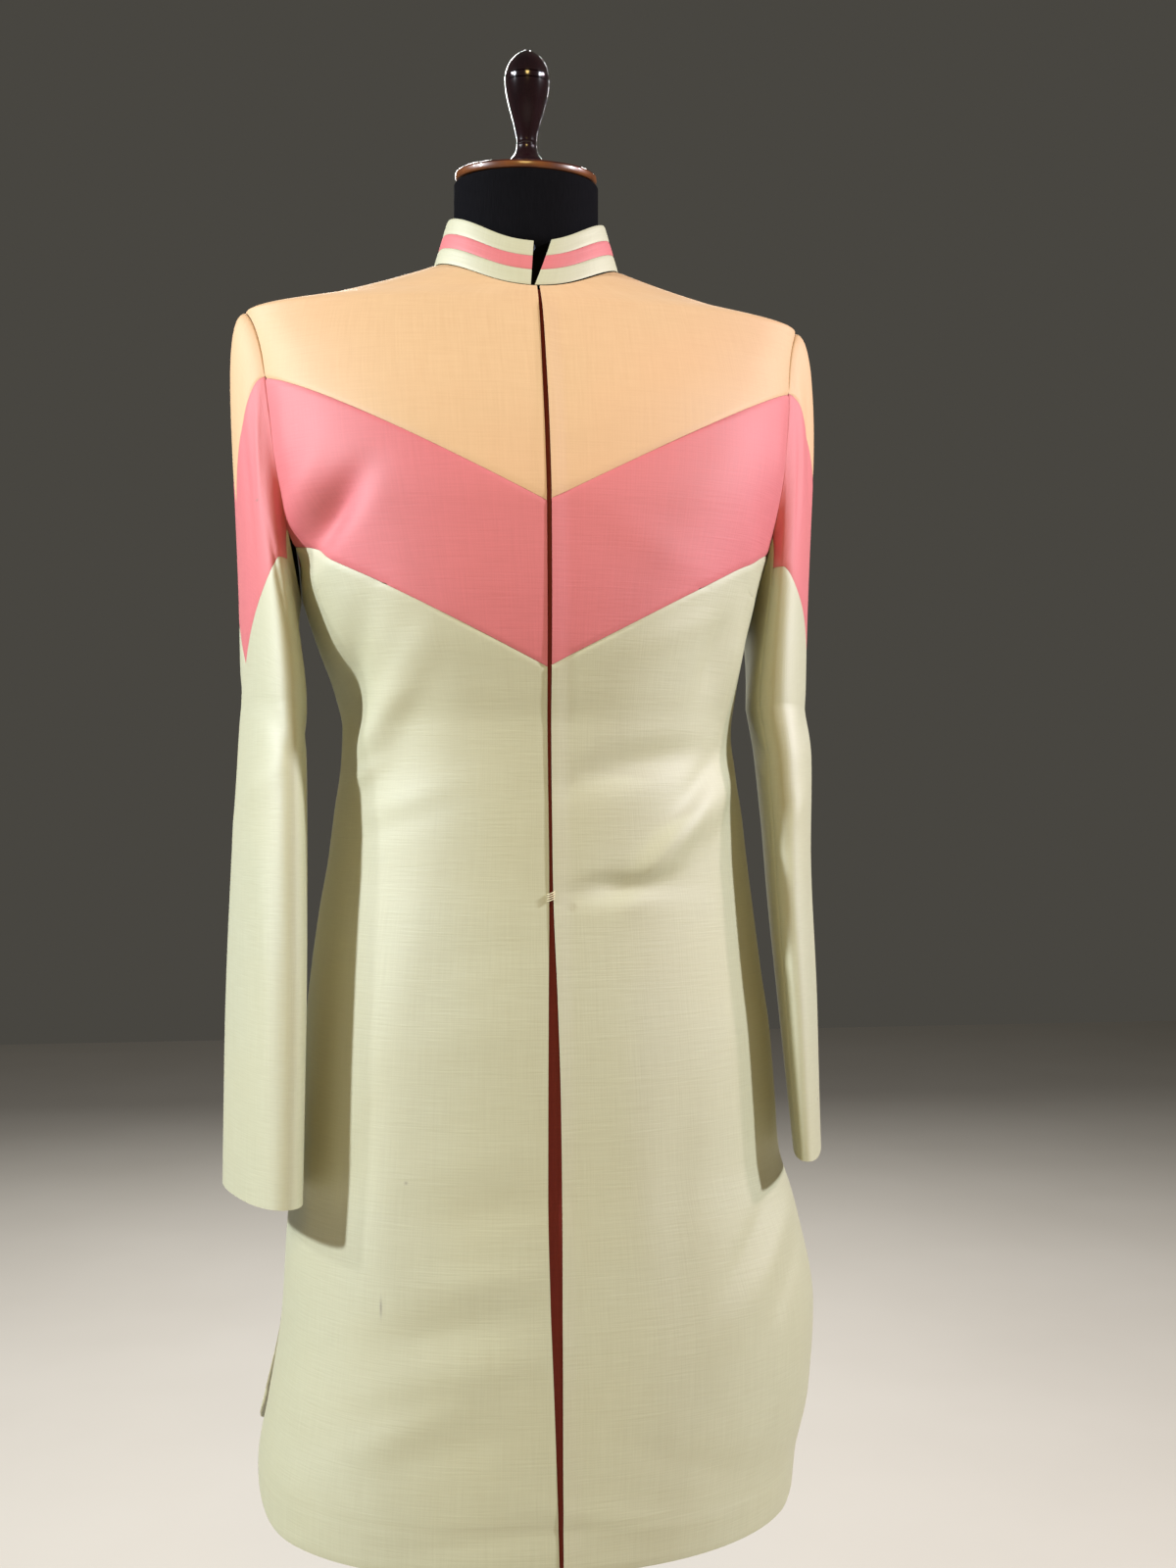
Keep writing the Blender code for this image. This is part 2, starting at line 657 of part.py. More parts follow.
# Collar point: part runs round from the right front edge to the left front edge, up from base to top
def collar_point(part, up, inward):
    side = -1 if part < 0.5 else 1
    opened = mix(NOTCH_BASE, NOTCH_TOP, up) + side * mix(NOTCH_BASE_MIDDLE, NOTCH_TOP_MIDDLE, up)
    start = math.asin(opened / mix(NECK_DEPTH, COLLAR_TOP_DEPTH, up))
    swing = mix(start, math.pi, 1.0 - abs(2.0 * part - 1.0))
    back = swing > math.pi / 2
    base = plain_point(side, swing, neck_height(side, swing, back), back)
    lean_x = mix(1.0, COLLAR_TOP_HALF / NECK_HALF, up)
    lean_y = mix(1.0, COLLAR_TOP_DEPTH / NECK_DEPTH, up)
    point = Vector((base.x * lean_x, base.y * lean_y, base.z + COLLAR_SEAT + COLLAR_RISE * up))
    out = Vector((point.x / NECK_HALF ** 2, point.y / NECK_DEPTH ** 2, 0.0))
    out.normalize()
    return point - out * inward


def build_collar():
    for name, low, high, look in COLLAR_BANDS:
        first = low + (BAND_GAP / 2 if low > 0.0 else 0.0)
        last = high - (BAND_GAP / 2 if high < 1.0 else 0.0)

        def outer(part, row, first=first, last=last):
            return collar_point(part, mix(first, last, row / 2), 0.0)

        def inner(part, row, first=first, last=last):
            return collar_point(part, mix(first, last, row / 2), CLOTH)

        cloth_piece(name, COLLAR_COLUMNS, 2, outer, inner, look)


def build_strip():
    low = FRONT_HEM + STRIP_HEM_RISE

    def place(part, row, inward):
        height = mix(low, neck_height(-1, 0.0, False) - STRIP_NECK_DROP, row / STRIP_ROWS)
        middle = opening["middle"].at(height)
        reach = opening["gap"].at(height) / 2 + STRIP_OVERLAP
        across = middle + mix(-reach, reach, part)
        turn = math.asin(across / half_width(1, height, False))
        point = plain_point(1, turn, height, False)
        lift = fold_rise(point) - STRIP_DEPTH - inward
        return point + plain_normal(1, turn, height, False) * lift

    def outer(part, row):
        return place(part, row, 0.0)

    def inner(part, row):
        return place(part, row, STRIP_WALL)

    cloth_piece("front_opening_strip", 3, STRIP_ROWS, outer, inner, "rust")


def tube_of_rings(name, rings, look):
    count = len(rings[0])
    mesh = bmesh.new()
    bmesh.ops.create_grid(mesh, x_segments=count, y_segments=len(rings) - 1, size=1.0)
    for vert in mesh.verts:
        across = round((vert.co.x + 1.0) / 2 * count) % count
        up = round((vert.co.y + 1.0) / 2 * (len(rings) - 1))
        vert.co = rings[up][across]
    bmesh.ops.remove_doubles(mesh, verts=mesh.verts[:], dist=1e-6)
    open_edges = [edge for edge in mesh.edges if edge.is_boundary]
    bmesh.ops.holes_fill(mesh, edges=open_edges, sides=0)
    return finish(name, mesh, look)


def form_ring(height, shrink):
    ring = []
    for step in range(FORM_COLUMNS_ROUND):
        angle = 2 * math.pi * step / FORM_COLUMNS_ROUND
        side = 1 if angle < math.pi else -1
        turn = angle if side > 0 else 2 * math.pi - angle
        back = turn > math.pi / 2
        wide = body["right_half"].at(height) - form["side"].at(height)
        depth_name = "back_depth" if back else "front_depth"
        depth = body[depth_name].at(height) - form["back" if back else "front"].at(height)
        square = body["square"].at(height)
        rise = smooth((height - FORM_SHOULDER_END) / (FORM_NECK_LOW - FORM_SHOULDER_END))
        wide = mix(wide, FORM_NECK_HALF, rise)
        depth = mix(depth, FORM_NECK_DEPTH, rise)
        across, along = ring_place(turn, wide - shrink, depth - shrink, square)
        ring.append(Vector((side * across, along, height)))
    return ring


def build_form():
    rings = []
    for step in range(4):
        angle = math.pi / 2 * step / 3
        shrink = FORM_BOTTOM_ROUND * (1.0 - math.sin(angle))
        rings.append(form_ring(FORM_BOTTOM + FORM_BOTTOM_ROUND * (1.0 - math.cos(angle)), shrink))
    for height in (0.760, 0.840, 0.920, 1.000, 1.060, 1.120, 1.180, 1.240, 1.290, 1.340, 1.385, 1.415,
                   1.434, 1.443, 1.450, 1.460, 1.470, 1.479, 1.486, 1.493, 1.502, FORM_NECK_TOP):
        rings.append(form_ring(height, 0.0))
    tube_of_rings("form_torso", rings, "jersey")

    lean = Matrix.Rotation(math.radians(CAP_TILT), 4, "X")
    seat = FORM_NECK_TOP + SOLID_GAP + CAP_DEPTH * math.sin(math.radians(CAP_TILT))
    lift = Matrix.Translation(Vector((0.0, 0.0, seat)))
    profile = ((-CAP_EDGE, 0.0), (-CAP_EDGE * 0.3, CAP_EDGE * 0.3), (0.0, CAP_EDGE),
               (0.0, CAP_THICK - CAP_EDGE), (-CAP_EDGE * 0.3, CAP_THICK - CAP_EDGE * 0.3),
               (-CAP_EDGE, CAP_THICK))
    rings = []
    for inset, up in profile:
        ring = []
        for step in range(FORM_COLUMNS_ROUND):
            angle = 2 * math.pi * step / FORM_COLUMNS_ROUND
            spot = Vector(((CAP_HALF + inset) * math.sin(angle), -(CAP_DEPTH + inset) * math.cos(angle), up))
            ring.append(lift @ lean @ spot)
        rings.append(ring)
    tube_of_rings("form_neck_cap", rings, "lacquer")
    top = lift @ lean @ Matrix.Translation(Vector((0.0, 0.0, CAP_THICK + SOLID_GAP)))
    turned("form_finial", FINIAL_ROWS, "burgundy", top)


def turned(name, rows, look, placing):
    mesh = bmesh.new()
    made = [mesh.verts.new((radius, 0.0, height)) for radius, height in rows]
    edges = [mesh.edges.new(pair) for pair in zip(made, made[1:])]
    bmesh.ops.spin(mesh, geom=made + edges, cent=(0, 0, 0), axis=(0, 0, 1), angle=2 * math.pi,
                   steps=ROUND_SEGMENTS, use_merge=True)
    bmesh.ops.remove_doubles(mesh, verts=mesh.verts[:], dist=1e-6)
    open_edges = [edge for edge in mesh.edges if edge.is_boundary]
    if open_edges:
        bmesh.ops.holes_fill(mesh, edges=open_edges, sides=0)
    thing = finish(name, mesh, look)
    thing.matrix_world = placing
    return thing


def build_stand():
    base = ((BASE_RADIUS, 0.0), (BASE_RADIUS, BASE_THICK - BASE_EDGE),
            (BASE_RADIUS - BASE_EDGE * 0.3, BASE_THICK - BASE_EDGE * 0.3), (BASE_RADIUS - BASE_EDGE, BASE_THICK),
            (0.0, BASE_THICK))
    turned("stand_base", base, "metal", Matrix.Identity(4))
    low = BASE_THICK + SOLID_GAP
    high = FORM_BOTTOM - SOLID_GAP
    pole = ((POLE_RADIUS, low), (POLE_RADIUS, high))
    turned("stand_pole", pole, "metal", Matrix.Identity(4))


def build_hook():
    line = bpy.data.curves.new("collar_hook", "CURVE")
    line.dimensions = "3D"
    line.bevel_depth = HOOK_WIRE
    line.bevel_resolution = 1
    line.use_fill_caps = True
    spline = line.splines.new("POLY")
    top = collar_point(0.002, 0.86, CLOTH + HOOK_WIRE + SOLID_GAP * 2)
    lean = (NECK_DEPTH - COLLAR_TOP_DEPTH) / COLLAR_RISE
    points = []
    for step in range(7):
        angle = math.pi * (step / 6 - 0.5)
        above = HOOK_SIZE * math.sin(angle)
        points.append(top + Vector((HOOK_SIZE * 0.9 * math.cos(angle), above * lean, above)))
    tail = Vector((-HOOK_SIZE / 2, HOOK_WIRE, 0.0))
    points.insert(0, points[0] + tail)
    points.append(points[-1] + tail)
    spline.points.add(len(points) - 1)
    for knot, place in zip(spline.points, points):
        knot.co = (*place, 1.0)
    thing = bpy.data.objects.new("collar_hook", line)
    line.materials.append(material("navy"))
    bpy.context.scene.collection.objects.link(thing)


def main():
    for item in list(bpy.data.objects):
        bpy.data.objects.remove(item, do_unlink=True)
    for side, label in ((-1, "right"), (1, "left")):
        for back, face in ((False, "front"), (True, "back")):
            body_panel(f"{label}_{face}_lower", side, back, lower_stops, "cream")
            body_panel(f"{label}_{face}_chevron", side, back, chevron_stops, "coral")
            body_panel(f"{label}_{face}_yoke", side, back, yoke_stops, "peach")
        build_sleeve(side, label)
    build_collar()
    build_strip()
    build_hook()
    build_form()
    build_stand()


main()
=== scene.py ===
import math

import bmesh
import bpy
import numpy as np
from mathutils import Matrix, Vector


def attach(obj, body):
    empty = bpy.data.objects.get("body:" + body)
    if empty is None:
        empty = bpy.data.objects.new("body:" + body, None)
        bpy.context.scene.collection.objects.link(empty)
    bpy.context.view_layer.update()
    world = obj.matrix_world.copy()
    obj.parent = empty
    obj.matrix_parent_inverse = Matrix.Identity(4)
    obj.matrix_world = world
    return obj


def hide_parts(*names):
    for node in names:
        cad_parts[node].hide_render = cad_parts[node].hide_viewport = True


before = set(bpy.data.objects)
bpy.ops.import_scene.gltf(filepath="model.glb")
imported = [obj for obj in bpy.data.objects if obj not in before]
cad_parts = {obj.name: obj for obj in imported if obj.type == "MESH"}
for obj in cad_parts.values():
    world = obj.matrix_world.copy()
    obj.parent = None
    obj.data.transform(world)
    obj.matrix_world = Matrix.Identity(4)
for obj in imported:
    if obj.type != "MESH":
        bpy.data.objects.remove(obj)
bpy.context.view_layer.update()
print("model loaded")

# Camera at the photograph's place: level, standing a little to the wearer's right
cameraView = {"place": (-0.1394, -1.3433, 1.08), "turn": -8.0, "lens": 39.2}


def makeCamera(view):
    data = bpy.data.cameras.new("camera")
    data.lens = view["lens"]
    data.sensor_width = 36.0
    data.sensor_fit = "AUTO"
    camera = bpy.data.objects.new("camera", data)
    camera.location = view["place"]
    camera.rotation_euler = (math.radians(90.0), 0.0, math.radians(view["turn"]))
    bpy.context.scene.collection.objects.link(camera)
    bpy.context.scene.camera = camera


makeCamera(cameraView)

# Sizes shared by the whole coat, in metres
coat = {
    "wall": 0.0011, "seamGap": 0.00020, "edgeGap": 0.00003, "normalStep": 0.0004,
    "shoulderTip": 1.443, "armholeBottom": 1.222, "slitTop": 0.674,
    "frontHem": 0.532, "backHem": 0.560, "frontCorner": 0.66, "backCorner": 0.45,
    "rightCornerRise": 0.050, "leftCornerRise": 0.070, "slitSpread": 0.004,
    "rightFlare": 0.005, "leftFlare": 0.010,
    "armholeFront": 0.059, "armholeBack": 0.064, "armholeSkew": 0.25,
    "neckHalf": 0.073, "neckDepth": 0.062,
    "upperSeam": 1.280, "lowerSeam": 1.1628, "seamSlope": 0.515,
    "lapLift": 0.0024, "lapReach": 0.016, "lapEnd": 1.452,
    "lapFade": 0.02,
    "seamDip": 0.0008, "seamSoft": 0.0014, "hemTurn": 0.030, "hemSoft": 0.0012, "hemShare": 0.6,
    "creaseCurve": 0.9, "crowd": 0.0016, "halfFront": 0.25, "flatRadius": 0.17, "normalRadius": 0.15,
    "sideFadeEnd": 0.010, "sideFadeReach": 0.050,
}

# Rings of the coat: width to each side, depth to front and back, squareness of the oval
bodyNames = ("height", "rightHalf", "leftHalf", "frontDepth", "backDepth", "square")
bodyRows = (
    (0.500, 0.2080, 0.2060, 0.1740, 0.1720, 2.20),
    (0.560, 0.2080, 0.2110, 0.1710, 0.1680, 2.20),
    (0.610, 0.2000, 0.2225, 0.1680, 0.1650, 2.20),
    (0.674, 0.1900, 0.2270, 0.1640, 0.1620, 2.20),
    (0.742, 0.1860, 0.2150, 0.1590, 0.1580, 2.20),
    (0.800, 0.1795, 0.1985, 0.1550, 0.1530, 2.20),
    (0.838, 0.1765, 0.1960, 0.1530, 0.1510, 2.20),
    (0.891, 0.1724, 0.1915, 0.1500, 0.1460, 2.20),
    (0.933, 0.1682, 0.1852, 0.1470, 0.1410, 2.20),
    (0.984, 0.1612, 0.1785, 0.1430, 0.1340, 2.20),
    (1.017, 0.1553, 0.1742, 0.1410, 0.1300, 2.20),
    (1.060, 0.1497, 0.1690, 0.1400, 0.1250, 2.20),
    (1.094, 0.1450, 0.1630, 0.1395, 0.1225, 2.20),
    (1.122, 0.1439, 0.1605, 0.1400, 0.1220, 2.25),
    (1.150, 0.1497, 0.1635, 0.1440, 0.1240, 2.30),
    (1.187, 0.1630, 0.1690, 0.1490, 0.1300, 2.40),
    (1.222, 0.1745, 0.1775, 0.1505, 0.1355, 2.50),
    (1.280, 0.1920, 0.1935, 0.1480, 0.1370, 2.60),
    (1.325, 0.2010, 0.2020, 0.1380, 0.1320, 2.75),
    (1.357, 0.2048, 0.2055, 0.1270, 0.1270, 2.75),
    (1.400, 0.2110, 0.2110, 0.1050, 0.1150, 2.45),
    (1.443, 0.2175, 0.2175, 0.0750, 0.0960, 2.00),
    (1.457, 0.1590, 0.1590, 0.0620, 0.0850, 1.95),
    (1.471, 0.1100, 0.1100, 0.0520, 0.0750, 1.95),
    (1.4846, 0.0730, 0.0730, 0.0420, 0.0660, 2.00),
    (1.495, 0.0600, 0.0600, 0.0350, 0.0590, 2.00),
)

# Front opening: its middle line and the width between the two edges
openingNames = ("height", "middle", "gap")
openingRows = (
    (0.530, 0.0068, 0.0026),
    (0.590, 0.0062, 0.0040),
    (0.650, 0.0055, 0.0060),
    (0.720, 0.0046, 0.0085),
    (0.780, 0.0043, 0.0098),
    (0.850, 0.0043, 0.0090),
    (0.930, 0.0038, 0.0062),
    (0.990, 0.0032, 0.0032),
    (1.030, 0.0029, 0.0024),
    (1.250, 0.0010, 0.0033),
    (1.350, 0.0010, 0.0034),
    (1.460, 0.0030, 0.0022),
)

# Creases of the body: place across and up, tilt in degrees, half length, half width, rise outward
frontCreaseRows = (
    (-0.156, 1.270, 54.0, 0.034, 0.0125, -0.0130),  # hollow slanting from the right armhole
    (-0.174, 1.292, 70.0, 0.026, 0.010, 0.0030),
    (-0.118, 1.122, 65.0, 0.050, 0.012, 0.0075),  # long ridge over the right waist
    (-0.140, 1.140, 84.0, 0.055, 0.012, -0.0075),
    (-0.104, 1.150, 58.0, 0.030, 0.008, -0.0014),
    (-0.128, 1.085, 40.0, 0.020, 0.006, 0.0016),
    (-0.098, 1.066, 24.0, 0.036, 0.010, 0.0008),
    (-0.110, 1.052, 20.0, 0.040, 0.010, -0.0008),
    (0.102, 1.045, 46.0, 0.048, 0.012, 0.0075),  # slanting ridge over the left waist
    (0.060, 1.006, 4.0, 0.036, 0.009, -0.0042),
    (0.046, 1.010, 2.0, 0.016, 0.004, -0.0014),
    (0.085, 1.012, 18.0, 0.022, 0.006, -0.0012),
    (0.072, 1.096, 12.0, 0.050, 0.013, -0.0045),
    (0.118, 1.082, 52.0, 0.030, 0.008, -0.0020),
    (0.133, 1.060, 60.0, 0.026, 0.007, 0.0018),
    (0.150, 1.180, 80.0, 0.040, 0.010, 0.0048),
    (0.126, 1.170, 74.0, 0.034, 0.009, -0.0032),
    (0.100, 1.192, 22.0, 0.036, 0.010, 0.0012),
    (0.160, 1.240, 96.0, 0.034, 0.008, 0.0016),
    (0.168, 0.722, 58.0, 0.045, 0.010, 0.0030),  # short ridges at the left hip
    (0.150, 0.742, 56.0, 0.036, 0.007, -0.0016),
    (0.182, 0.700, 60.0, 0.040, 0.007, -0.0014),
    (0.140, 0.700, 54.0, 0.030, 0.007, 0.0012),
    (-0.070, 0.668, 14.0, 0.055, 0.014, 0.0016),  # soft waves on the lower right front
    (-0.066, 0.700, 12.0, 0.050, 0.012, -0.0014),
    (-0.052, 0.732, 8.0, 0.040, 0.012, 0.0012),
    (-0.100, 0.630, 30.0, 0.050, 0.013, 0.0016),
    (-0.060, 0.620, 16.0, 0.044, 0.012, -0.0007),
    (-0.040, 0.780, 10.0, 0.044, 0.014, -0.0010),
    (-0.068, 0.810, 14.0, 0.052, 0.016, 0.0006),
    (-0.052, 0.905, 16.0, 0.050, 0.018, 0.0005),
    (-0.044, 0.960, 12.0, 0.036, 0.012, -0.0004),
    (-0.040, 0.558, 6.0, 0.060, 0.009, -0.0010),
    (0.080, 0.560, 172.0, 0.080, 0.010, 0.0011),
    (0.120, 0.590, 160.0, 0.060, 0.012, -0.0009),
    (0.060, 0.840, 92.0, 0.120, 0.020, 0.0014),
    (0.095, 0.780, 88.0, 0.140, 0.018, -0.0014),
    (-0.120, 0.840, 86.0, 0.140, 0.018, 0.0014),
    (-0.145, 0.760, 80.0, 0.100, 0.014, -0.0014),
    (0.080, 1.250, 150.0, 0.050, 0.016, 0.0010),
    (-0.060, 1.370, 160.0, 0.060, 0.018, 0.0008),
    (0.090, 1.370, 20.0, 0.060, 0.018, 0.0008),
    (-0.186, 1.330, 96.0, 0.040, 0.007, 0.0014),
    (0.186, 1.330, 84.0, 0.040, 0.007, 0.0014),
)
backCreaseRows = (
    (0.055, 1.115, 12.0, 0.060, 0.014, -0.0040),  # folds in the small of the back
    (-0.070, 1.060, 164.0, 0.060, 0.014, 0.0040),
    (0.040, 1.085, 8.0, 0.050, 0.010, 0.0022),
    (-0.050, 1.100, 170.0, 0.046, 0.010, -0.0022),
    (0.110, 1.290, 100.0, 0.050, 0.016, -0.0040),
    (-0.120, 1.300, 82.0, 0.056, 0.014, -0.0030),
    (0.140, 1.210, 70.0, 0.050, 0.012, 0.0020),
    (-0.145, 1.190, 112.0, 0.050, 0.012, 0.0022),
    (-0.060, 0.760, 80.0, 0.120, 0.022, 0.0040),
    (0.075, 0.740, 98.0, 0.140, 0.024, 0.0030),
    (0.010, 0.700, 90.0, 0.120, 0.022, -0.0026),
    (-0.120, 0.700, 84.0, 0.110, 0.018, -0.0020),
    (0.130, 0.820, 94.0, 0.110, 0.016, -0.0018),
    (0.080, 1.020, 30.0, 0.040, 0.010, 0.0018),
    (-0.090, 1.000, 150.0, 0.036, 0.010, -0.0016),
)

# Sleeve rings: place and size of the flattened oval, and its turn inward at the front
sleeveNames = ("height", "across", "forward", "thick", "broad", "turn")
rightSleeveRows = (
    (0.779, 0.2025, 0.062, 0.0210, 0.0625, 21.0),
    (0.900, 0.2010, 0.051, 0.0212, 0.0670, 20.0),
    (1.020, 0.1990, 0.034, 0.0218, 0.0720, 16.0),
    (1.100, 0.1975, 0.018, 0.0212, 0.0760, 13.0),
    (1.140, 0.1968, 0.009, 0.0206, 0.0785, 12.0),
)
leftSleeveRows = (
    (0.800, 0.2140, 0.052, 0.0108, 0.0625, 15.0),
    (0.900, 0.2088, 0.044, 0.0145, 0.0670, 14.0),
    (1.020, 0.2035, 0.031, 0.0180, 0.0720, 13.0),
    (1.100, 0.2035, 0.017, 0.0225, 0.0760, 13.0),
    (1.140, 0.2020, 0.000, 0.0240, 0.0785, 13.0),
)
sleeve = {
    "square": 2.3, "ringTop": 1.140, "frontSeam": -34.0, "backSeam": 205.0, "seamAngle": 0.06,
    "seat": 0.0001, "seamGap": 0.0002, "upperTip": 1.295, "upperRise": 0.090, "upperSpan": 62.0,
    "lowerTip": 1.172, "lowerRise": 0.075, "lowerSpan": 90.0, "puff": 0.050, "climb": 0.85,
    "capInset": 0.5, "lastClimb": 1.996, "seamBend": 1.5, "perDegree": 0.0011,
    "upperClimb": 0.35, "puffUnder": 0.25, "puffUpper": 1.35, "capLevel": 0.45,
    "climbStep": 0.003, "angleStep": 0.4,
    "creaseFade": 0.15, "edgeSoft": 0.010, "edgeDip": 0.0006,
    "flatShift": 0.5, "flatBase": 0.78, "flatLength": 0.33,
}

# Creases of the sleeves by side: angle, height, tilt, half length, half width, rise
sleeveCreaseRows = {
    1: (
        (40.0, 1.360, 88.0, 0.050, 0.006, 0.0012),  # upright ripples under the left shoulder
        (58.0, 1.340, 92.0, 0.060, 0.006, -0.0014),
        (74.0, 1.350, 90.0, 0.055, 0.006, 0.0012),
        (30.0, 1.310, 84.0, 0.045, 0.006, -0.0012),
        (60.0, 1.130, 20.0, 0.030, 0.012, -0.0016),
        (20.0, 1.060, 30.0, 0.030, 0.012, 0.0016),
        (80.0, 0.960, 84.0, 0.080, 0.014, 0.0012),
        (300.0, 1.110, 150.0, 0.030, 0.010, -0.0018),
        (140.0, 1.150, 30.0, 0.034, 0.012, -0.0020),
        (165.0, 1.070, 160.0, 0.030, 0.012, 0.0016),
    ),
    -1: (
        (30.0, 1.330, 92.0, 0.050, 0.007, 0.0012),
        (55.0, 1.300, 88.0, 0.055, 0.007, -0.0012),
        (10.0, 1.240, 70.0, 0.030, 0.008, -0.0014),
        (20.0, 1.120, 26.0, 0.032, 0.012, -0.0016),
        (50.0, 1.080, 160.0, 0.034, 0.012, 0.0014),
        (40.0, 0.940, 88.0, 0.090, 0.016, 0.0014),
        (300.0, 1.110, 30.0, 0.030, 0.010, -0.0018),
        (140.0, 1.140, 150.0, 0.034, 0.012, -0.0020),
        (160.0, 1.060, 20.0, 0.030, 0.012, 0.0016),
    ),
}

collar = {
    "rise": 0.0365, "seat": 0.0001, "topHalf": 0.062, "topDepth": 0.052, "baseMiddle": -0.0005, "topMiddle": 0.0030,
    "notchBase": 0.0006, "notchTop": 0.0028, "bandGap": 0.004, "bandDip": 0.00045, "bandSoft": 0.0009,
    "endDip": 0.0006, "endSoft": 0.0015, "round": 0.4, "wave": 0.0004, "waves": 5.0,
    "flatRound": 0.42, "flatShift": 2.0,
    "bands": (("collar_lower_band", 0.0, 0.345, "cream"), ("collar_coral_band", 0.345, 0.655, "coral"),
              ("collar_upper_band", 0.655, 1.0, "cream")),
}


class Line:  # smooth line through a table's points that never overshoots them
    def __init__(self, places, values):
        self.places = np.array(places, float)
        self.values = np.array(values, float)
        steps = np.diff(self.values) / np.diff(self.places)
        before, after = steps[:-1], steps[1:]
        total = np.where(np.abs(before + after) < 1e-12, 1.0, before + after)
        middle = np.where(before * after <= 0.0, 0.0, 2.0 * before * after / total)
        self.slopes = np.concatenate([[steps[0]], middle, [steps[-1]]])

    def at(self, place):
        place = np.clip(np.asarray(place, float), self.places[0], self.places[-1])
        index = np.clip(np.searchsorted(self.places, place) - 1, 0, len(self.places) - 2)
        span = self.places[index + 1] - self.places[index]
        part = (place - self.places[index]) / span
        squared, cubed = part * part, part * part * part
        value = self.values[index] * (2 * cubed - 3 * squared + 1)
        value = value + self.slopes[index] * span * (cubed - 2 * squared + part)
        value = value + self.values[index + 1] * (3 * squared - 2 * cubed)
        return value + self.slopes[index + 1] * span * (cubed - squared)


def linesOf(names, rows):
    places = [row[0] for row in rows]
    return {name: Line(places, [row[at] for row in rows]) for at, name in enumerate(names) if at}


bodyLines = linesOf(bodyNames, bodyRows)
openingLines = linesOf(openingNames, openingRows)
sleeveLines = {-1: linesOf(sleeveNames, rightSleeveRows), 1: linesOf(sleeveNames, leftSleeveRows)}
sleeveCuff = {-1: rightSleeveRows[0][0], 1: leftSleeveRows[0][0]}


halvings = 26  # steps of each search for a height


def smooth(part):
    part = np.clip(part, 0.0, 1.0)
    return part * part * (3.0 - 2.0 * part)


def mix(low, high, part):
    return low + (high - low) * part


def unit(rows):
    return rows / np.maximum(np.linalg.norm(rows, axis=-1, keepdims=True), 1e-12)


def halfWidth(side, height, back):
    wide = bodyLines["leftHalf" if side > 0 else "rightHalf"].at(height)
    if back:
        flare = coat["leftFlare"] if side > 0 else coat["rightFlare"]
        wide = wide + flare * smooth((coat["slitTop"] - height) / (coat["slitTop"] - coat["backHem"]))
    return wide


def ringPlace(turn, half, depth, square):
    across, along = np.sin(turn), np.cos(turn)
    reach = (np.abs(across) ** square + np.abs(along) ** square) ** (-1.0 / square)
    return half * reach * across, -depth * reach * along


def plainPoint(side, turn, height, back):
    turn, height = np.broadcast_arrays(np.asarray(turn, float), np.asarray(height, float))
    front = bodyLines["frontDepth"].at(height)
    depth = np.where(turn > math.pi / 2, bodyLines["backDepth"].at(height), front)
    across, along = ringPlace(turn, halfWidth(side, height, back), depth, bodyLines["square"].at(height))
    return np.stack([side * across, along, height + 0.0 * across], -1)


def plainNormal(side, turn, height, back):
    swing, step = coat["normalStep"] / coat["normalRadius"], coat["normalStep"]
    one = plainPoint(side, turn + swing, height, back) - plainPoint(side, turn - swing, height, back)
    two = plainPoint(side, turn, height + step, back) - plainPoint(side, turn, height - step, back)
    return unit(np.cross(one, two)) * side


def turnedPlace(aside, above, tilt):
    tilt = math.radians(tilt)
    return (aside * math.cos(tilt) + above * math.sin(tilt), above * math.cos(tilt) - aside * math.sin(tilt))


def creaseRise(point):
    rise = np.zeros(point.shape[:-1])
    for inside, rows in ((point[..., 1], frontCreaseRows), (-point[..., 1], backCreaseRows)):
        fade = smooth((coat["sideFadeEnd"] - inside) / coat["sideFadeReach"])
        for across, up, tilt, length, width, height in rows:
            along, over = turnedPlace(point[..., 0] - across, point[..., 2] - up, tilt)
            bend = over + coat["creaseCurve"] * along * along
            rise += fade * height * np.exp(-((along / length) ** 2) - (bend / width) ** 2)
    return rise


def coatPoint(side, turn, height, back, inward, dip=0.0):
    point = plainPoint(side, turn, height, back)
    lift = creaseRise(point)
    if side > 0 and not back:
        edge = np.abs(point[..., 0] - openingLines["middle"].at(height)) / coat["lapReach"]
        lift = lift + coat["lapLift"] * (1.0 - smooth(edge)) * smooth((coat["lapEnd"] - height) / coat["lapFade"])
    return point + plainNormal(side, turn, height, back) * (lift - inward - dip)[..., None]


def armholeTurn(height, back):
    middle = (coat["shoulderTip"] + coat["armholeBottom"]) / 2
    reach = (coat["shoulderTip"] - coat["armholeBottom"]) / 2
    climb = np.clip((height - middle) / reach, -1.0, 1.0)
    out = (coat["armholeBack"] if back else coat["armholeFront"])
    out = out * np.sqrt(1.0 - climb * climb) * (1.0 - coat["armholeSkew"] * climb)
    part = out / bodyLines["backDepth" if back else "frontDepth"].at(height)
    square = bodyLines["square"].at(height)
    turn = np.arctan2((1.0 - part ** square) ** (1.0 / square), part)
    return math.pi - turn if back else turn


def edgeTurn(side, height, back):
    hem = coat["backHem"] if back else coat["frontHem"]
    spread = coat["slitSpread"] * (0.5 if back else 1.0)
    gap = coat["edgeGap"] + spread * np.clip((coat["slitTop"] - height) / (coat["slitTop"] - hem), 0.0, None)
    depth = bodyLines["backDepth" if back else "frontDepth"].at(height)
    return armholeTurn(height, back) + gap / depth if back else armholeTurn(height, back) - gap / depth


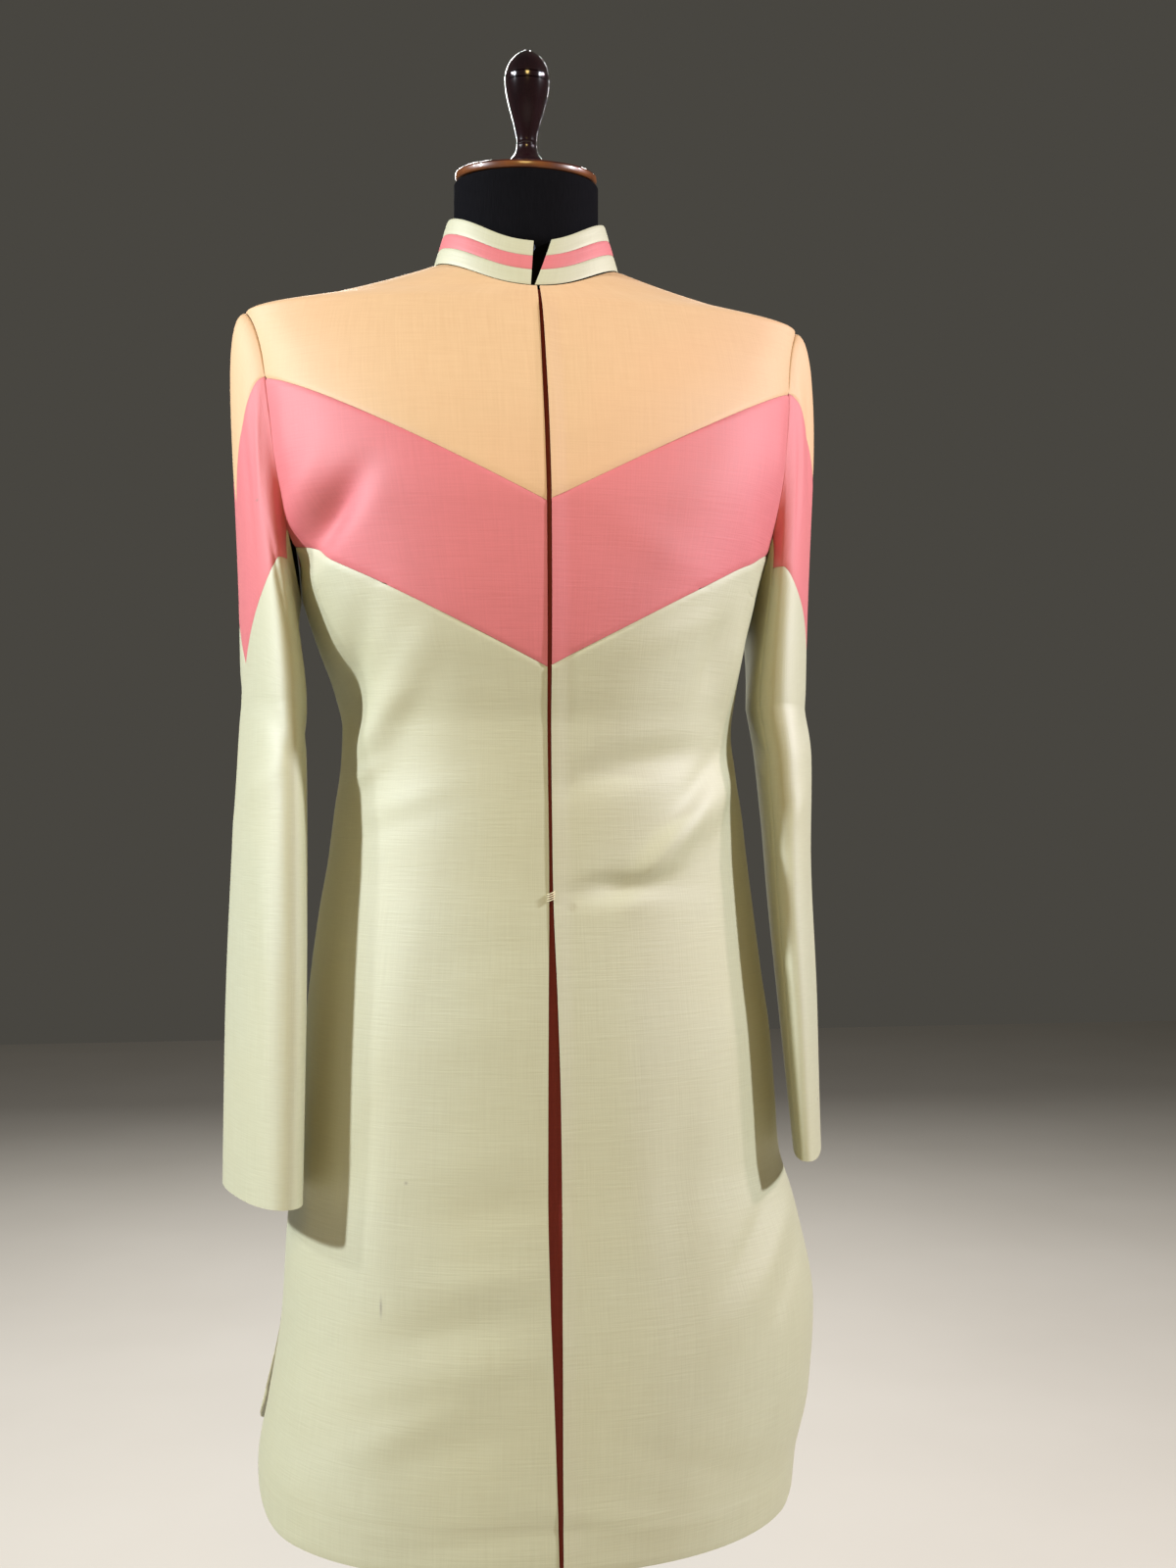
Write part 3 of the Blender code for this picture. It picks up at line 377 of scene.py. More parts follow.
def centreTurn(side, height, back):
    if back:
        return math.pi - np.arcsin(coat["edgeGap"] / halfWidth(side, height, True))
    edge = side * openingLines["middle"].at(height) + openingLines["gap"].at(height) / 2
    return np.arcsin(edge / halfWidth(side, height, False))


def panelTurn(side, part, height, back):
    return mix(centreTurn(side, height, back), edgeTurn(side, height, back), part)


def seamHeight(side, part, back, centre, shift):
    low = np.full(np.shape(part), centre - 0.02)
    high = np.full(np.shape(part), coat["shoulderTip"])
    for _ in range(halvings):
        middle = (low + high) / 2
        spot = plainPoint(side, panelTurn(side, part, middle, back), middle, back)
        above = middle < centre + coat["seamSlope"] * np.abs(spot[..., 0])
        low, high = np.where(above, middle, low), np.where(above, high, middle)
    return (low + high) / 2 + shift


def neckHeight(side, turn, back):
    low = np.full(np.shape(turn), coat["shoulderTip"])
    high = np.full(np.shape(turn), bodyRows[-1][0])
    for _ in range(halvings):
        middle = (low + high) / 2
        spot = plainPoint(side, turn, middle, back)
        out = (spot[..., 0] / coat["neckHalf"]) ** 2 + (spot[..., 1] / coat["neckDepth"]) ** 2 > 1.0
        low, high = np.where(out, middle, low), np.where(out, high, middle)
    return (low + high) / 2


def hemHeight(side, part, back):
    start = coat["backCorner"] if back else coat["frontCorner"]
    corner = np.clip((part - start) / (1.0 - start), 0.0, 1.0)
    rise = coat["leftCornerRise"] if side > 0 else coat["rightCornerRise"]
    return (coat["backHem"] if back else coat["frontHem"]) + rise * (1.0 - np.sqrt(1.0 - corner ** 2))


# Rows and columns of the panels' grids
bodyGrid = {"columns": 84, "slit": 46, "armhole": 226, "lower": 242, "chevron": 48, "tip": 44, "yoke": 84}
sleeveGrid = {"capStart": 24, "capEnd": 60, "top": 80, "cap": 36, "under": 44,
              "ring": 100, "lowerRows": 134, "bandRows": 44, "capRows": 50, "underRows": 142}
collarGrid = {"columns": 260, "rows": 10}


# Stops of a panel's rows: heights at fixed row numbers, one value for each column
def lowerStops(side, part, back):
    top = seamHeight(side, part, back, coat["lowerSeam"], -coat["seamGap"] / 2)
    edgeTop = seamHeight(side, np.ones(1), back, coat["lowerSeam"], -coat["seamGap"] / 2)[0]
    slit = np.full(np.shape(part), coat["slitTop"])
    armhole = top - (edgeTop - coat["armholeBottom"])
    return [(hemHeight(side, part, back), 0), (slit, bodyGrid["slit"]), (armhole, bodyGrid["armhole"]),
            (top, bodyGrid["lower"])]


def chevronStops(side, part, back):
    low = seamHeight(side, part, back, coat["lowerSeam"], coat["seamGap"] / 2)
    top = seamHeight(side, part, back, coat["upperSeam"], -coat["seamGap"] / 2)
    return [(low, 0), (top, bodyGrid["chevron"])]


def yokeStops(side, part, back):
    low = seamHeight(side, part, back, coat["upperSeam"], coat["seamGap"] / 2)
    turn = panelTurn(side, part, np.full(np.shape(part), coat["shoulderTip"]), back)
    tip = np.full(np.shape(part), coat["shoulderTip"])
    return [(low, 0), (tip, bodyGrid["tip"]), (neckHeight(side, turn, back), bodyGrid["yoke"])]


def heightAt(stops, row):
    height = stops[0][0] + 0.0 * row
    for (low, first), (high, last) in zip(stops, stops[1:]):
        height = np.where(row >= first, mix(low, high, np.clip((row - first) / (last - first), 0.0, 1.0)), height)
    return height


def crowd(part):  # points crowd towards both ends, where a seam turns in
    near = coat["crowd"] / coat["halfFront"]
    return part + near * np.sin(2 * math.pi * part) * -2.0


materials = {}  # filled by the finishes below


def toMesh(bm, name, finish):
    if bm.calc_volume(signed=True) < 0.0:
        bmesh.ops.reverse_faces(bm, faces=bm.faces[:])
    data = bpy.data.meshes.new(name)
    bm.to_mesh(data)
    bm.free()
    data.shade_smooth()
    data.set_sharp_from_angle(angle=math.radians(50.0))
    data.materials.append(materials[finish])
    piece = bpy.data.objects.new(name, data)
    bpy.context.scene.collection.objects.link(piece)
    return piece


# One panel of cloth: a grid and its inner face, then both laid on their form
def clothPiece(name, columns, rows, place, finish, flatPlace):
    bm = bmesh.new()
    bmesh.ops.create_grid(bm, x_segments=columns, y_segments=rows, size=1.0)
    mark = bm.verts.layers.float_vector.new("gridPlace")
    for vert in bm.verts:
        vert[mark] = vert.co
    wall = bmesh.ops.extrude_face_region(bm, geom=bm.faces[:])
    for item in wall["geom"]:
        if isinstance(item, bmesh.types.BMVert):
            item[mark] = (item.co.x, item.co.y, 1.0)
    data = bpy.data.meshes.new(name)
    bm.to_mesh(data)
    grid = np.zeros(len(data.vertices) * 3)
    data.attributes["gridPlace"].data.foreach_get("vector", grid)
    grid = grid.reshape(-1, 3)
    part, row = (grid[:, 0] + 1.0) / 2, (grid[:, 1] + 1.0) / 2 * rows
    data.vertices.foreach_set("co", place(part, row, grid[:, 2] * coat["wall"]).reshape(-1))
    corners = np.zeros(len(data.loops), int)
    data.loops.foreach_get("vertex_index", corners)
    weave = data.uv_layers.new(name="weave")
    weave.data.foreach_set("uv", flatPlace(part, row)[corners].reshape(-1))
    data.attributes.remove(data.attributes["gridPlace"])
    bm.clear()
    bm.from_mesh(data)
    bmesh.ops.recalc_face_normals(bm, faces=bm.faces[:])
    bpy.data.meshes.remove(data)
    return toMesh(bm, name, finish)


def setPiece(piece, node):
    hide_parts(node)
    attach(piece, "root")


def bodyPanel(side, back, kind, stopsOf, finish):
    face = "back" if back else "front"
    node = f"{'left' if side > 0 else 'right'}_{face}_{kind}"
    rows = int(stopsOf(side, np.zeros(1), back)[-1][1])

    def heights(part, row):
        stops = stopsOf(side, part, back)
        return heightAt(stops, row), stops[0][0], stops[-1][0]

    def place(part, row, inward):
        part = crowd(part)
        height, low, high = heights(part, row)
        turn = panelTurn(side, part, height, back)
        soft = coat["seamSoft"]
        dip = np.exp(-((height - low) / soft) ** 2) + np.exp(-((high - height) / soft) ** 2)
        if kind == "lower":  # the line of the turned-up hem
            dip = dip + coat["hemShare"] * np.exp(-((height - low - coat["hemTurn"]) / coat["hemSoft"]) ** 2)
        if back:
            dip = dip + np.exp(-(part * coat["halfFront"] / soft) ** 2)
        return coatPoint(side, turn, height, back, inward, coat["seamDip"] * np.clip(dip, 0.0, 1.0))

    def flatPlace(part, row):
        part = crowd(part)
        height, low, high = heights(part, row)
        return np.stack([side * panelTurn(side, part, height, back) * coat["flatRadius"], height], -1)

    piece = clothPiece(node + "_cloth", bodyGrid["columns"], rows, place, finish, flatPlace)
    setPiece(piece, node)


def armholePoint(side, angle):
    middle = (coat["shoulderTip"] + coat["armholeBottom"]) / 2
    reach = (coat["shoulderTip"] - coat["armholeBottom"]) / 2
    height = np.clip(middle + reach * np.sin(np.radians(angle)), coat["armholeBottom"], coat["shoulderTip"])
    back = np.cos(np.radians(angle)) < 0
    turn = np.where(back, armholeTurn(height, True), armholeTurn(height, False))
    point = plainPoint(side, turn, height, False)
    return point + np.array([side * sleeve["seat"], 0.0, 0.0])


def sleeveRing(side, angle, height):
    lines = sleeveLines[side]
    turn = np.radians(lines["turn"].at(height))
    thick, broad = lines["thick"].at(height), lines["broad"].at(height)
    aside, ahead = ringPlace(np.radians(angle), thick, broad, sleeve["square"])
    across = lines["across"].at(height) + aside * np.cos(turn) + ahead * np.sin(turn)
    along = -lines["forward"].at(height) + ahead * np.cos(turn) - aside * np.sin(turn)
    return np.stack([side * across, along, height + 0.0 * across], -1)


# Climb 0 to 1 runs from the cuff to the top ring, 1 to 2 from there to the armhole
def sleeveOuter(side, angle, climb):
    angle, climb = np.broadcast_arrays(np.asarray(angle, float), np.asarray(climb, float))
    tube = sleeveRing(side, angle, mix(sleeveCuff[side], sleeve["ringTop"], np.minimum(climb, 1.0)))
    part = np.clip(climb - 1.0, 0.0, 1.0)[..., None]
    start = sleeveRing(side, angle, np.full(angle.shape, sleeve["ringTop"]))
    end = armholePoint(side, angle)
    rise = np.linalg.norm(end - start, axis=-1)
    upper = np.maximum(0.0, np.sin(np.radians(angle)))
    none = np.zeros(angle.shape)
    first = np.stack([none, none, rise * (sleeve["climb"] + sleeve["upperClimb"] * upper)], -1)
    puff = sleeve["puff"] * (sleeve["puffUnder"] + sleeve["puffUpper"] * upper)
    last = np.stack([-side * puff, none, rise * sleeve["capLevel"] * (1.0 - upper)], -1)
    squared, cubed = part ** 2, part ** 3
    head = start * (2 * cubed - 3 * squared + 1) + first * (cubed - 2 * squared + part)
    head = head + end * (3 * squared - 2 * cubed) + last * (cubed - squared)
    return np.where((climb <= 1.0)[..., None], tube, head)


def sleeveCrease(side, angle, height):
    rise = np.zeros(angle.shape)
    for middle, up, tilt, length, width, amount in sleeveCreaseRows[side]:
        aside = ((angle - middle + 180.0) % 360.0 - 180.0) * sleeve["perDegree"]
        along, over = turnedPlace(aside, height - up, tilt)
        rise += amount * np.exp(-((along / length) ** 2) - ((over + along * along) / width) ** 2)
    return rise


def sleevePoint(side, angle, climb, inward, dip):
    point = sleeveOuter(side, angle, climb)
    step, swing = sleeve["climbStep"], sleeve["angleStep"]
    low, high = np.maximum(climb - step, 0.0), np.minimum(climb + step, 2.0)
    one = sleeveOuter(side, angle + swing, climb) - sleeveOuter(side, angle - swing, climb)
    two = sleeveOuter(side, angle, high) - sleeveOuter(side, angle, low)
    fade = smooth((2.0 - climb) / sleeve["creaseFade"])
    lift = sleeveCrease(side, angle, point[..., 2]) * fade - inward - dip
    return point + unit(np.cross(one, two)) * side * lift[..., None]


def sleeveClimb(side, angle, height, shift):
    low, high = np.zeros(np.shape(angle)), np.full(np.shape(angle), 2.0)
    for _ in range(halvings):
        middle = (low + high) / 2
        under = sleeveOuter(side, angle, middle)[..., 2] < height + shift
        low, high = np.where(under, middle, low), np.where(under, high, middle)
    top = sleeveOuter(side, angle, np.full(np.shape(angle), 2.0))[..., 2]
    return np.where(height >= top, 2.0, (low + high) / 2)


def lineRise(angle, span):  # steep at the outer tip, level towards the armhole
    return 1.0 - (1.0 - np.minimum(np.abs(angle - 90.0) / span, 1.0)) ** sleeve["seamBend"]


def upperLine(angle):
    return sleeve["upperTip"] + sleeve["upperRise"] * lineRise(angle, sleeve["upperSpan"])


def lowerLine(angle):
    return sleeve["lowerTip"] + sleeve["lowerRise"] * lineRise(angle, sleeve["lowerSpan"])


def sleevePiece(side, kind, angles, climbsOf, finish):
    node = ("left" if side > 0 else "right") + kind
    columns = angles[-1][1]
    rows = climbsOf(np.array([angles[0][0]]))[-1][1]

    def spots(part, row):
        angle = heightAt([(np.full(part.shape, value), at) for value, at in angles], part * columns)
        stops = climbsOf(angle)
        return angle, heightAt(stops, row), stops[0][0], stops[-1][0]

    def place(part, row, inward):
        angle, climb, low, high = spots(part, row)
        soft = sleeve["edgeSoft"]
        dip = np.exp(-((high - climb) / soft) ** 2) + (low > 0.0) * np.exp(-((climb - low) / soft) ** 2)
        edge = np.minimum(part, 1.0 - part) * (angles[-1][0] - angles[0][0]) * sleeve["perDegree"]
        dip = dip + np.exp(-(edge / coat["seamSoft"]) ** 2)
        return sleevePoint(side, angle, climb, inward, sleeve["edgeDip"] * np.clip(dip, 0.0, 1.0))

    def flatPlace(part, row):
        angle, climb = spots(part, row)[:2]
        aside = side * (angle * sleeve["perDegree"] + sleeve["flatShift"])
        return np.stack([aside, sleeve["flatBase"] + climb * sleeve["flatLength"]], -1)

    piece = clothPiece(node + "_cloth", columns, rows, place, finish, flatPlace)
    setPiece(piece, node)


def makeSleeve(side):
    start, end = sleeve["frontSeam"] + sleeve["seamAngle"], sleeve["backSeam"] - sleeve["seamAngle"]
    capStart = 90.0 - sleeve["upperSpan"] + sleeve["capInset"]
    capEnd = 90.0 + sleeve["upperSpan"] - sleeve["capInset"]
    underStart = sleeve["backSeam"] + sleeve["seamAngle"]
    underEnd = 360.0 + sleeve["frontSeam"] - sleeve["seamAngle"]
    gap, grid = sleeve["seamGap"] / 2, sleeveGrid
    roundTop = ((start, 0), (capStart, grid["capStart"]), (capEnd, grid["capEnd"]), (end, grid["top"]))
    backLine, frontLine = (sleeveClimb(side, np.array([sleeve[seam]]), lowerLine(sleeve[seam]), 0.0)[0]
                           for seam in ("backSeam", "frontSeam"))

    def lowerClimbs(angle):
        top = sleeveClimb(side, angle, lowerLine(angle), -gap)
        return [(0.0 * angle, 0), (1.0 + 0.0 * angle, grid["ring"]), (top, grid["lowerRows"])]

    def bandClimbs(angle):
        low = sleeveClimb(side, angle, lowerLine(angle), gap)
        top = np.minimum(2.0, sleeveClimb(side, angle, upperLine(angle), -gap))
        return [(low, 0), (np.where(np.abs(angle - 90.0) < sleeve["upperSpan"], top, 2.0), grid["bandRows"])]

    def capClimbs(angle):
        low = np.minimum(sleeve["lastClimb"], sleeveClimb(side, angle, upperLine(angle), gap))
        return [(low, 0), (2.0 + 0.0 * angle, grid["capRows"])]

    def underClimbs(angle):
        line = mix(backLine, frontLine, (angle - underStart) / (underEnd - underStart))
        return [(0.0 * angle, 0), (1.0 + 0.0 * angle, grid["ring"]), (line, grid["lowerRows"]),
                (2.0 + 0.0 * angle, grid["underRows"])]

    sleevePiece(side, "_sleeve_lower", roundTop, lowerClimbs, "cream")
    sleevePiece(side, "_sleeve_band", roundTop, bandClimbs, "coral")
    sleevePiece(side, "_sleeve_cap", ((capStart, 0), (capEnd, grid["cap"])), capClimbs, "peach")
    sleevePiece(side, "_under_sleeve", ((underStart, 0), (underEnd, grid["under"])), underClimbs, "cream")


# Collar: part runs round from the right front edge to the left one, up from base to top
def collarPoint(part, up, inward, dip):
    side = np.where(part < 0.5, -1.0, 1.0)
    opened = mix(collar["notchBase"], collar["notchTop"], up)
    opened = opened + side * mix(collar["baseMiddle"], collar["topMiddle"], up)
    start = np.arcsin(opened / mix(coat["neckDepth"], collar["topDepth"], up))
    swing = mix(start, math.pi, 1.0 - np.abs(2.0 * part - 1.0))
    back = swing > math.pi / 2
    height = neckHeight(1, swing, False)
    base = plainPoint(1, swing, height, False)
    leanX = mix(1.0, collar["topHalf"] / coat["neckHalf"], up)
    leanY = mix(1.0, collar["topDepth"] / coat["neckDepth"], up)
    point = np.stack([side * base[..., 0] * leanX, base[..., 1] * leanY,
                      base[..., 2] + collar["seat"] + collar["rise"] * up], -1)
    out = np.stack([point[..., 0] / coat["neckHalf"] ** 2, point[..., 1] / coat["neckDepth"] ** 2,
                    0.0 * up], -1)
    wave = collar["wave"] * np.sin(swing * collar["waves"] + side) * up
    return point + unit(out) * (wave - inward - dip)[..., None]


def makeCollar():
    rows = collarGrid["rows"]
    for node, low, high, finish in collar["bands"]:
        first = low + (collar["bandGap"] / 2 if low > 0.0 else 0.0)
        last = high - (collar["bandGap"] / 2 if high < 1.0 else 0.0)

        def place(part, row, inward, first=first, last=last):
            up = mix(first, last, row / rows)
            edge = np.minimum(row, rows - row) / rows * (last - first) * collar["rise"]
            end = np.minimum(part, 1.0 - part) * collar["round"]
            dip = collar["bandDip"] * np.exp(-(edge / collar["bandSoft"]) ** 2)
            dip = dip + collar["endDip"] * np.exp(-(end / collar["endSoft"]) ** 2)
            return collarPoint(part, up, inward, dip)

        def flatPlace(part, row, first=first, last=last):
            up = mix(first, last, row / rows)
            return np.stack([part * collar["flatRound"] + collar["flatShift"], up * collar["rise"]], -1)

        piece = clothPiece(node + "_cloth", collarGrid["columns"], rows, place, finish, flatPlace)
        setPiece(piece, node)


# Strip under the front opening, with a groove beside its middle
strip = {"depth": 0.0025, "overlap": 0.008, "columns": 26, "rows": 200, "groove": 0.0006, "grooveShift": 0.0006,
         "grooveSoft": 0.0007, "wallShare": 0.8, "hemGap": 0.004, "neckGap": 0.002,
         "flatWide": 0.02, "flatShift": 3.0}


def makeStrip():
    low = coat["frontHem"] + strip["hemGap"]
    high = float(neckHeight(-1, np.zeros(1), False)[0]) - strip["neckGap"]

    def place(part, row, inward):
        height = mix(low, high, row / strip["rows"])
        middle = openingLines["middle"].at(height)
        reach = openingLines["gap"].at(height) / 2 + strip["overlap"]
        across = middle + mix(-reach, reach, part)
        turn = np.arcsin(across / halfWidth(1, height, False))
        point = plainPoint(1, turn, height, False)
        groove = (across - middle + strip["grooveShift"]) / strip["grooveSoft"]
        lift = creaseRise(point) - strip["depth"] - inward * strip["wallShare"]
        lift = lift - strip["groove"] * np.exp(-groove ** 2)
        return point + plainNormal(1, turn, height, False) * lift[..., None]

    def flatPlace(part, row):
        return np.stack([part * strip["flatWide"] + strip["flatShift"], mix(low, high, row / strip["rows"])], -1)

    piece = clothPiece("front_opening_strip_cloth", strip["columns"], strip["rows"], place, "rust", flatPlace)
    setPiece(piece, "front_opening_strip")


# Shader maths: one small class for numbers, one method for every other node
class Number:
    def __init__(self, tree, socket):
        self.tree, self.socket = tree, socket

    def maths(self, operation, first, second):
        node = self.tree.nodes.new("ShaderNodeMath")
        node.operation = operation
        for at, value in enumerate((first, second)):
            if isinstance(value, Number):
                self.tree.links.new(value.socket, node.inputs[at])
            elif value is not None:
                node.inputs[at].default_value = value
        return Number(self.tree, node.outputs[0])

    def __add__(self, other):
        return self.maths("ADD", self, other)

    def __sub__(self, other):
        return self.maths("SUBTRACT", self, other)

    def __mul__(self, other):
        return self.maths("MULTIPLY", self, other)

    def __truediv__(self, other):
        return self.maths("DIVIDE", self, other)

    def exp(self):
        return self.maths("EXPONENT", self, None)

    def capped(self):
        return self.maths("MINIMUM", self.maths("MAXIMUM", self, 0.0), 1.0)


class Finish:
    def __init__(self, name):
        self.material = bpy.data.materials.new(name)
        self.material.use_nodes = True
        self.tree = self.material.node_tree
        self.shader = self.tree.nodes["Principled BSDF"]
        materials[name] = self.material

    def node(self, kind, settings=None, inputs=None):
        made = self.tree.nodes.new(kind)
        for key, value in (settings or {}).items():
            setattr(made, key, value)
        for key, value in (inputs or {}).items():
            self.feed(made.inputs[key], value)
        return made

    def feed(self, socket, value):
        if isinstance(value, Number):
            value = value.socket
        if isinstance(value, bpy.types.NodeSocket):
            self.tree.links.new(value, socket)
        else:
            socket.default_value = value

    def number(self, socket):
        return Number(self.tree, socket)

    def weavePlace(self):
        return self.node("ShaderNodeUVMap", {"uv_map": "weave"}).outputs["UV"]

    def spot(self):
        return self.node("ShaderNodeTexCoord").outputs["Object"]

    def stretch(self, place, scale):
        return self.node("ShaderNodeVectorMath", {"operation": "MULTIPLY"}, {0: place, 1: scale}).outputs[0]

    def noise(self, place, scale, detail):
        made = self.node("ShaderNodeTexNoise", None, {"Vector": place, "Scale": scale, "Detail": detail})
        return self.number(made.outputs["Fac"])

    def blend(self, part, low, high):
        made = self.node("ShaderNodeMix", {"data_type": "RGBA"})
        self.feed(made.inputs[0], part)
        self.feed(made.inputs[6], low)
        self.feed(made.inputs[7], high)
        return made.outputs[2]

    def bump(self, height, distance, strength=1.0):
        made = self.node("ShaderNodeBump", None, {"Height": height, "Distance": distance, "Strength": strength})
        self.feed(self.shader.inputs["Normal"], made.outputs["Normal"])

    def paint(self, colour, rough):
        self.feed(self.shader.inputs["Base Color"], colour)
        self.feed(self.shader.inputs["Roughness"], rough)

    def settings(self, **values):
        for key, value in values.items():
            self.shader.inputs[key.replace("_", " ")].default_value = value


# Cloth: satin-faced plain weave with slubs along both threads
clothLooks = {
    "cream": {"pale": (0.445, 0.450, 0.280, 1), "deep": (0.365, 0.360, 0.200, 1), "gold": (0.415, 0.385, 0.185, 1),
              "rough": 0.72, "ior": 2.1, "specular": 1.0, "sheen": 0.08, "sheenTint": (1.0, 0.98, 0.90, 1)},
    "coral": {"pale": (0.600, 0.095, 0.115, 1), "deep": (0.500, 0.060, 0.076, 1), "gold": (0.59, 0.100, 0.09, 1),
              "rough": 0.74, "ior": 1.8, "specular": 1.0, "sheen": 0.08, "sheenTint": (1.0, 0.85, 0.85, 1)},
    "peach": {"pale": (0.630, 0.395, 0.180, 1), "deep": (0.550, 0.325, 0.135, 1), "gold": (0.64, 0.32, 0.13, 1),
              "rough": 0.74, "ior": 1.8, "specular": 1.0, "sheen": 0.08, "sheenTint": (1.0, 0.93, 0.80, 1)},
    "rust": {"pale": (0.210, 0.020, 0.015, 1), "deep": (0.150, 0.012, 0.010, 1), "gold": (0.20, 0.025, 0.012, 1),
             "rough": 0.60, "ior": 1.45, "specular": 0.4, "sheen": 0.05, "sheenTint": (1.0, 0.6, 0.5, 1)},
}
weave = {"warp": (900.0, 30.0, 1.0), "weft": (45.0, 950.0, 1.0), "slub": (26.0, 380.0, 1.0),
         "longSlub": (330.0, 14.0, 1.0), "threadShare": 0.35, "slubShare": 0.15, "contrast": 2.2, "paleShare": 0.55,
         "cloud": 6.0, "cloudContrast": 1.1, "cloudShare": 0.15, "shine": 0.10, "sheenRough": 0.45,
         "bump": 0.00022, "slubBump": 0.4, "markFront": -400.0, "markColour": (0.10, 0.07, 0.04, 1)}

# Small marks on the cloth: across, height, half width, half height, strength
markRows = (
    (-0.1165, 0.7115, 0.0008, 0.0060, 0.70),
    (-0.0990, 0.7990, 0.0011, 0.0011, 0.60),
    (-0.2060, 1.2900, 0.0012, 0.0012, 0.50),
    (0.2190, 1.0960, 0.0010, 0.0014, 0.50),
    (0.2120, 0.8420, 0.0010, 0.0012, 0.50),
)


def makeCloth(name, look):
    cloth = Finish(name)
    place = cloth.weavePlace()
    warp = cloth.noise(cloth.stretch(place, weave["warp"]), 1.0, 1.0)
    weft = cloth.noise(cloth.stretch(place, weave["weft"]), 1.0, 1.0)
    slubs = cloth.noise(cloth.stretch(place, weave["slub"]), 1.0, 1.0)
    longSlubs = cloth.noise(cloth.stretch(place, weave["longSlub"]), 1.0, 1.0)
    clouds = cloth.noise(place, weave["cloud"], 3.0)
    fine = ((warp + weft) * weave["threadShare"] + (slubs + longSlubs) * weave["slubShare"]).capped()
    pale = ((fine - 0.5) * weave["contrast"] + weave["paleShare"]).capped()
    colour = cloth.blend(pale, look["deep"], look["pale"])
    gold = ((clouds - 0.5) * weave["cloudContrast"] + weave["cloudShare"]).capped()
    colour = cloth.blend(gold, colour, look["gold"])
    spot = cloth.node("ShaderNodeSeparateXYZ", None, {0: cloth.spot()})
    across, height = cloth.number(spot.outputs[0]), cloth.number(spot.outputs[2])
    depth = cloth.number(spot.outputs[1])
    total = None
    for markAcross, markHeight, wide, tall, strength in markRows:
        aside, above = (across - markAcross) / wide, (height - markHeight) / tall
        one = ((aside * aside + above * above) * -1.0).exp() * strength
        total = one if total is None else total + one
    total = total * (depth * weave["markFront"]).capped()  # marks lie on the front only
    colour = cloth.blend(total.capped(), colour, weave["markColour"])
    cloth.paint(colour, (clouds - 0.5) * weave["shine"] + (fine - 0.5) * weave["shine"] + look["rough"])
    cloth.settings(Sheen_Weight=look["sheen"], Sheen_Roughness=weave["sheenRough"], Sheen_Tint=look["sheenTint"],
                   IOR=look["ior"], Specular_IOR_Level=look["specular"])
    cloth.bump(fine + slubs * weave["slubBump"], weave["bump"])


def makeJersey():
    jersey = Finish("jersey")
    place = jersey.spot()
    ribs = jersey.noise(jersey.stretch(place, (700.0, 700.0, 120.0)), 1.0, 1.0)
    fuzz = jersey.noise(place, 60.0, 4.0)
    colour = jersey.blend(((ribs + fuzz) * 0.5).capped(), (0.0015, 0.0015, 0.0025, 1), (0.006, 0.006, 0.008, 1))
    jersey.paint(colour, fuzz * 0.1 + 0.82)
    jersey.settings(Sheen_Weight=0.004, Sheen_Roughness=0.5, Specular_IOR_Level=0.05)
    jersey.bump(ribs, 0.0003)


def makeWood(name, dark, light, rough):
    wood = Finish(name)
    place = wood.spot()
    grain = wood.noise(wood.stretch(place, (60.0, 60.0, 9.0)), 1.0, 5.0)
    wear = wood.noise(place, 40.0, 4.0)
    wood.paint(wood.blend(((grain - 0.5) * 2.0 + 0.4).capped(), dark, light), wear * 0.14 + rough)
    wood.settings(Coat_Weight=0.7, Coat_Roughness=0.06)
    wood.bump(grain, 0.0002, 0.4)


def makeMetal():
    metal = Finish("standMetal")
    place = metal.spot()
    speckle = metal.noise(place, 300.0, 3.0)
    wear = metal.noise(place, 12.0, 5.0)
    colour = metal.blend(((wear - 0.45) * 3.0).capped(), (0.020, 0.020, 0.022, 1), (0.045, 0.044, 0.044, 1))
    metal.paint(colour, wear * 0.20 + 0.30)
    metal.bump(speckle, 0.0002, 0.6)


def makeWire():
    wire = Finish("navyWire")
    wear = wire.noise(wire.spot(), 400.0, 3.0)
    wire.paint(wire.blend(wear, (0.010, 0.020, 0.050, 1), (0.035, 0.055, 0.120, 1)), wear * 0.2 + 0.35)


for clothName, clothLook in clothLooks.items():
    makeCloth(clothName, clothLook)
makeJersey()
makeWood("capWood", (0.030, 0.007, 0.005, 1), (0.085, 0.022, 0.010, 1), 0.16)
makeWood("rimWood", (0.09, 0.024, 0.006, 1), (0.21, 0.066, 0.012, 1), 0.26)
makeWood("finialWood", (0.006, 0.002, 0.003, 1), (0.020, 0.005, 0.007, 1), 0.08)
makeMetal()
makeWire()
print("finishes made")

for side in (-1, 1):
    for back in (False, True):
        bodyPanel(side, back, "lower", lowerStops, "cream")
        bodyPanel(side, back, "chevron", chevronStops, "coral")
        bodyPanel(side, back, "yoke", yokeStops, "peach")
print("body panels made")
makeSleeve(-1)
makeSleeve(1)
print("sleeves made")
makeCollar()
makeStrip()
print("collar and strip made")

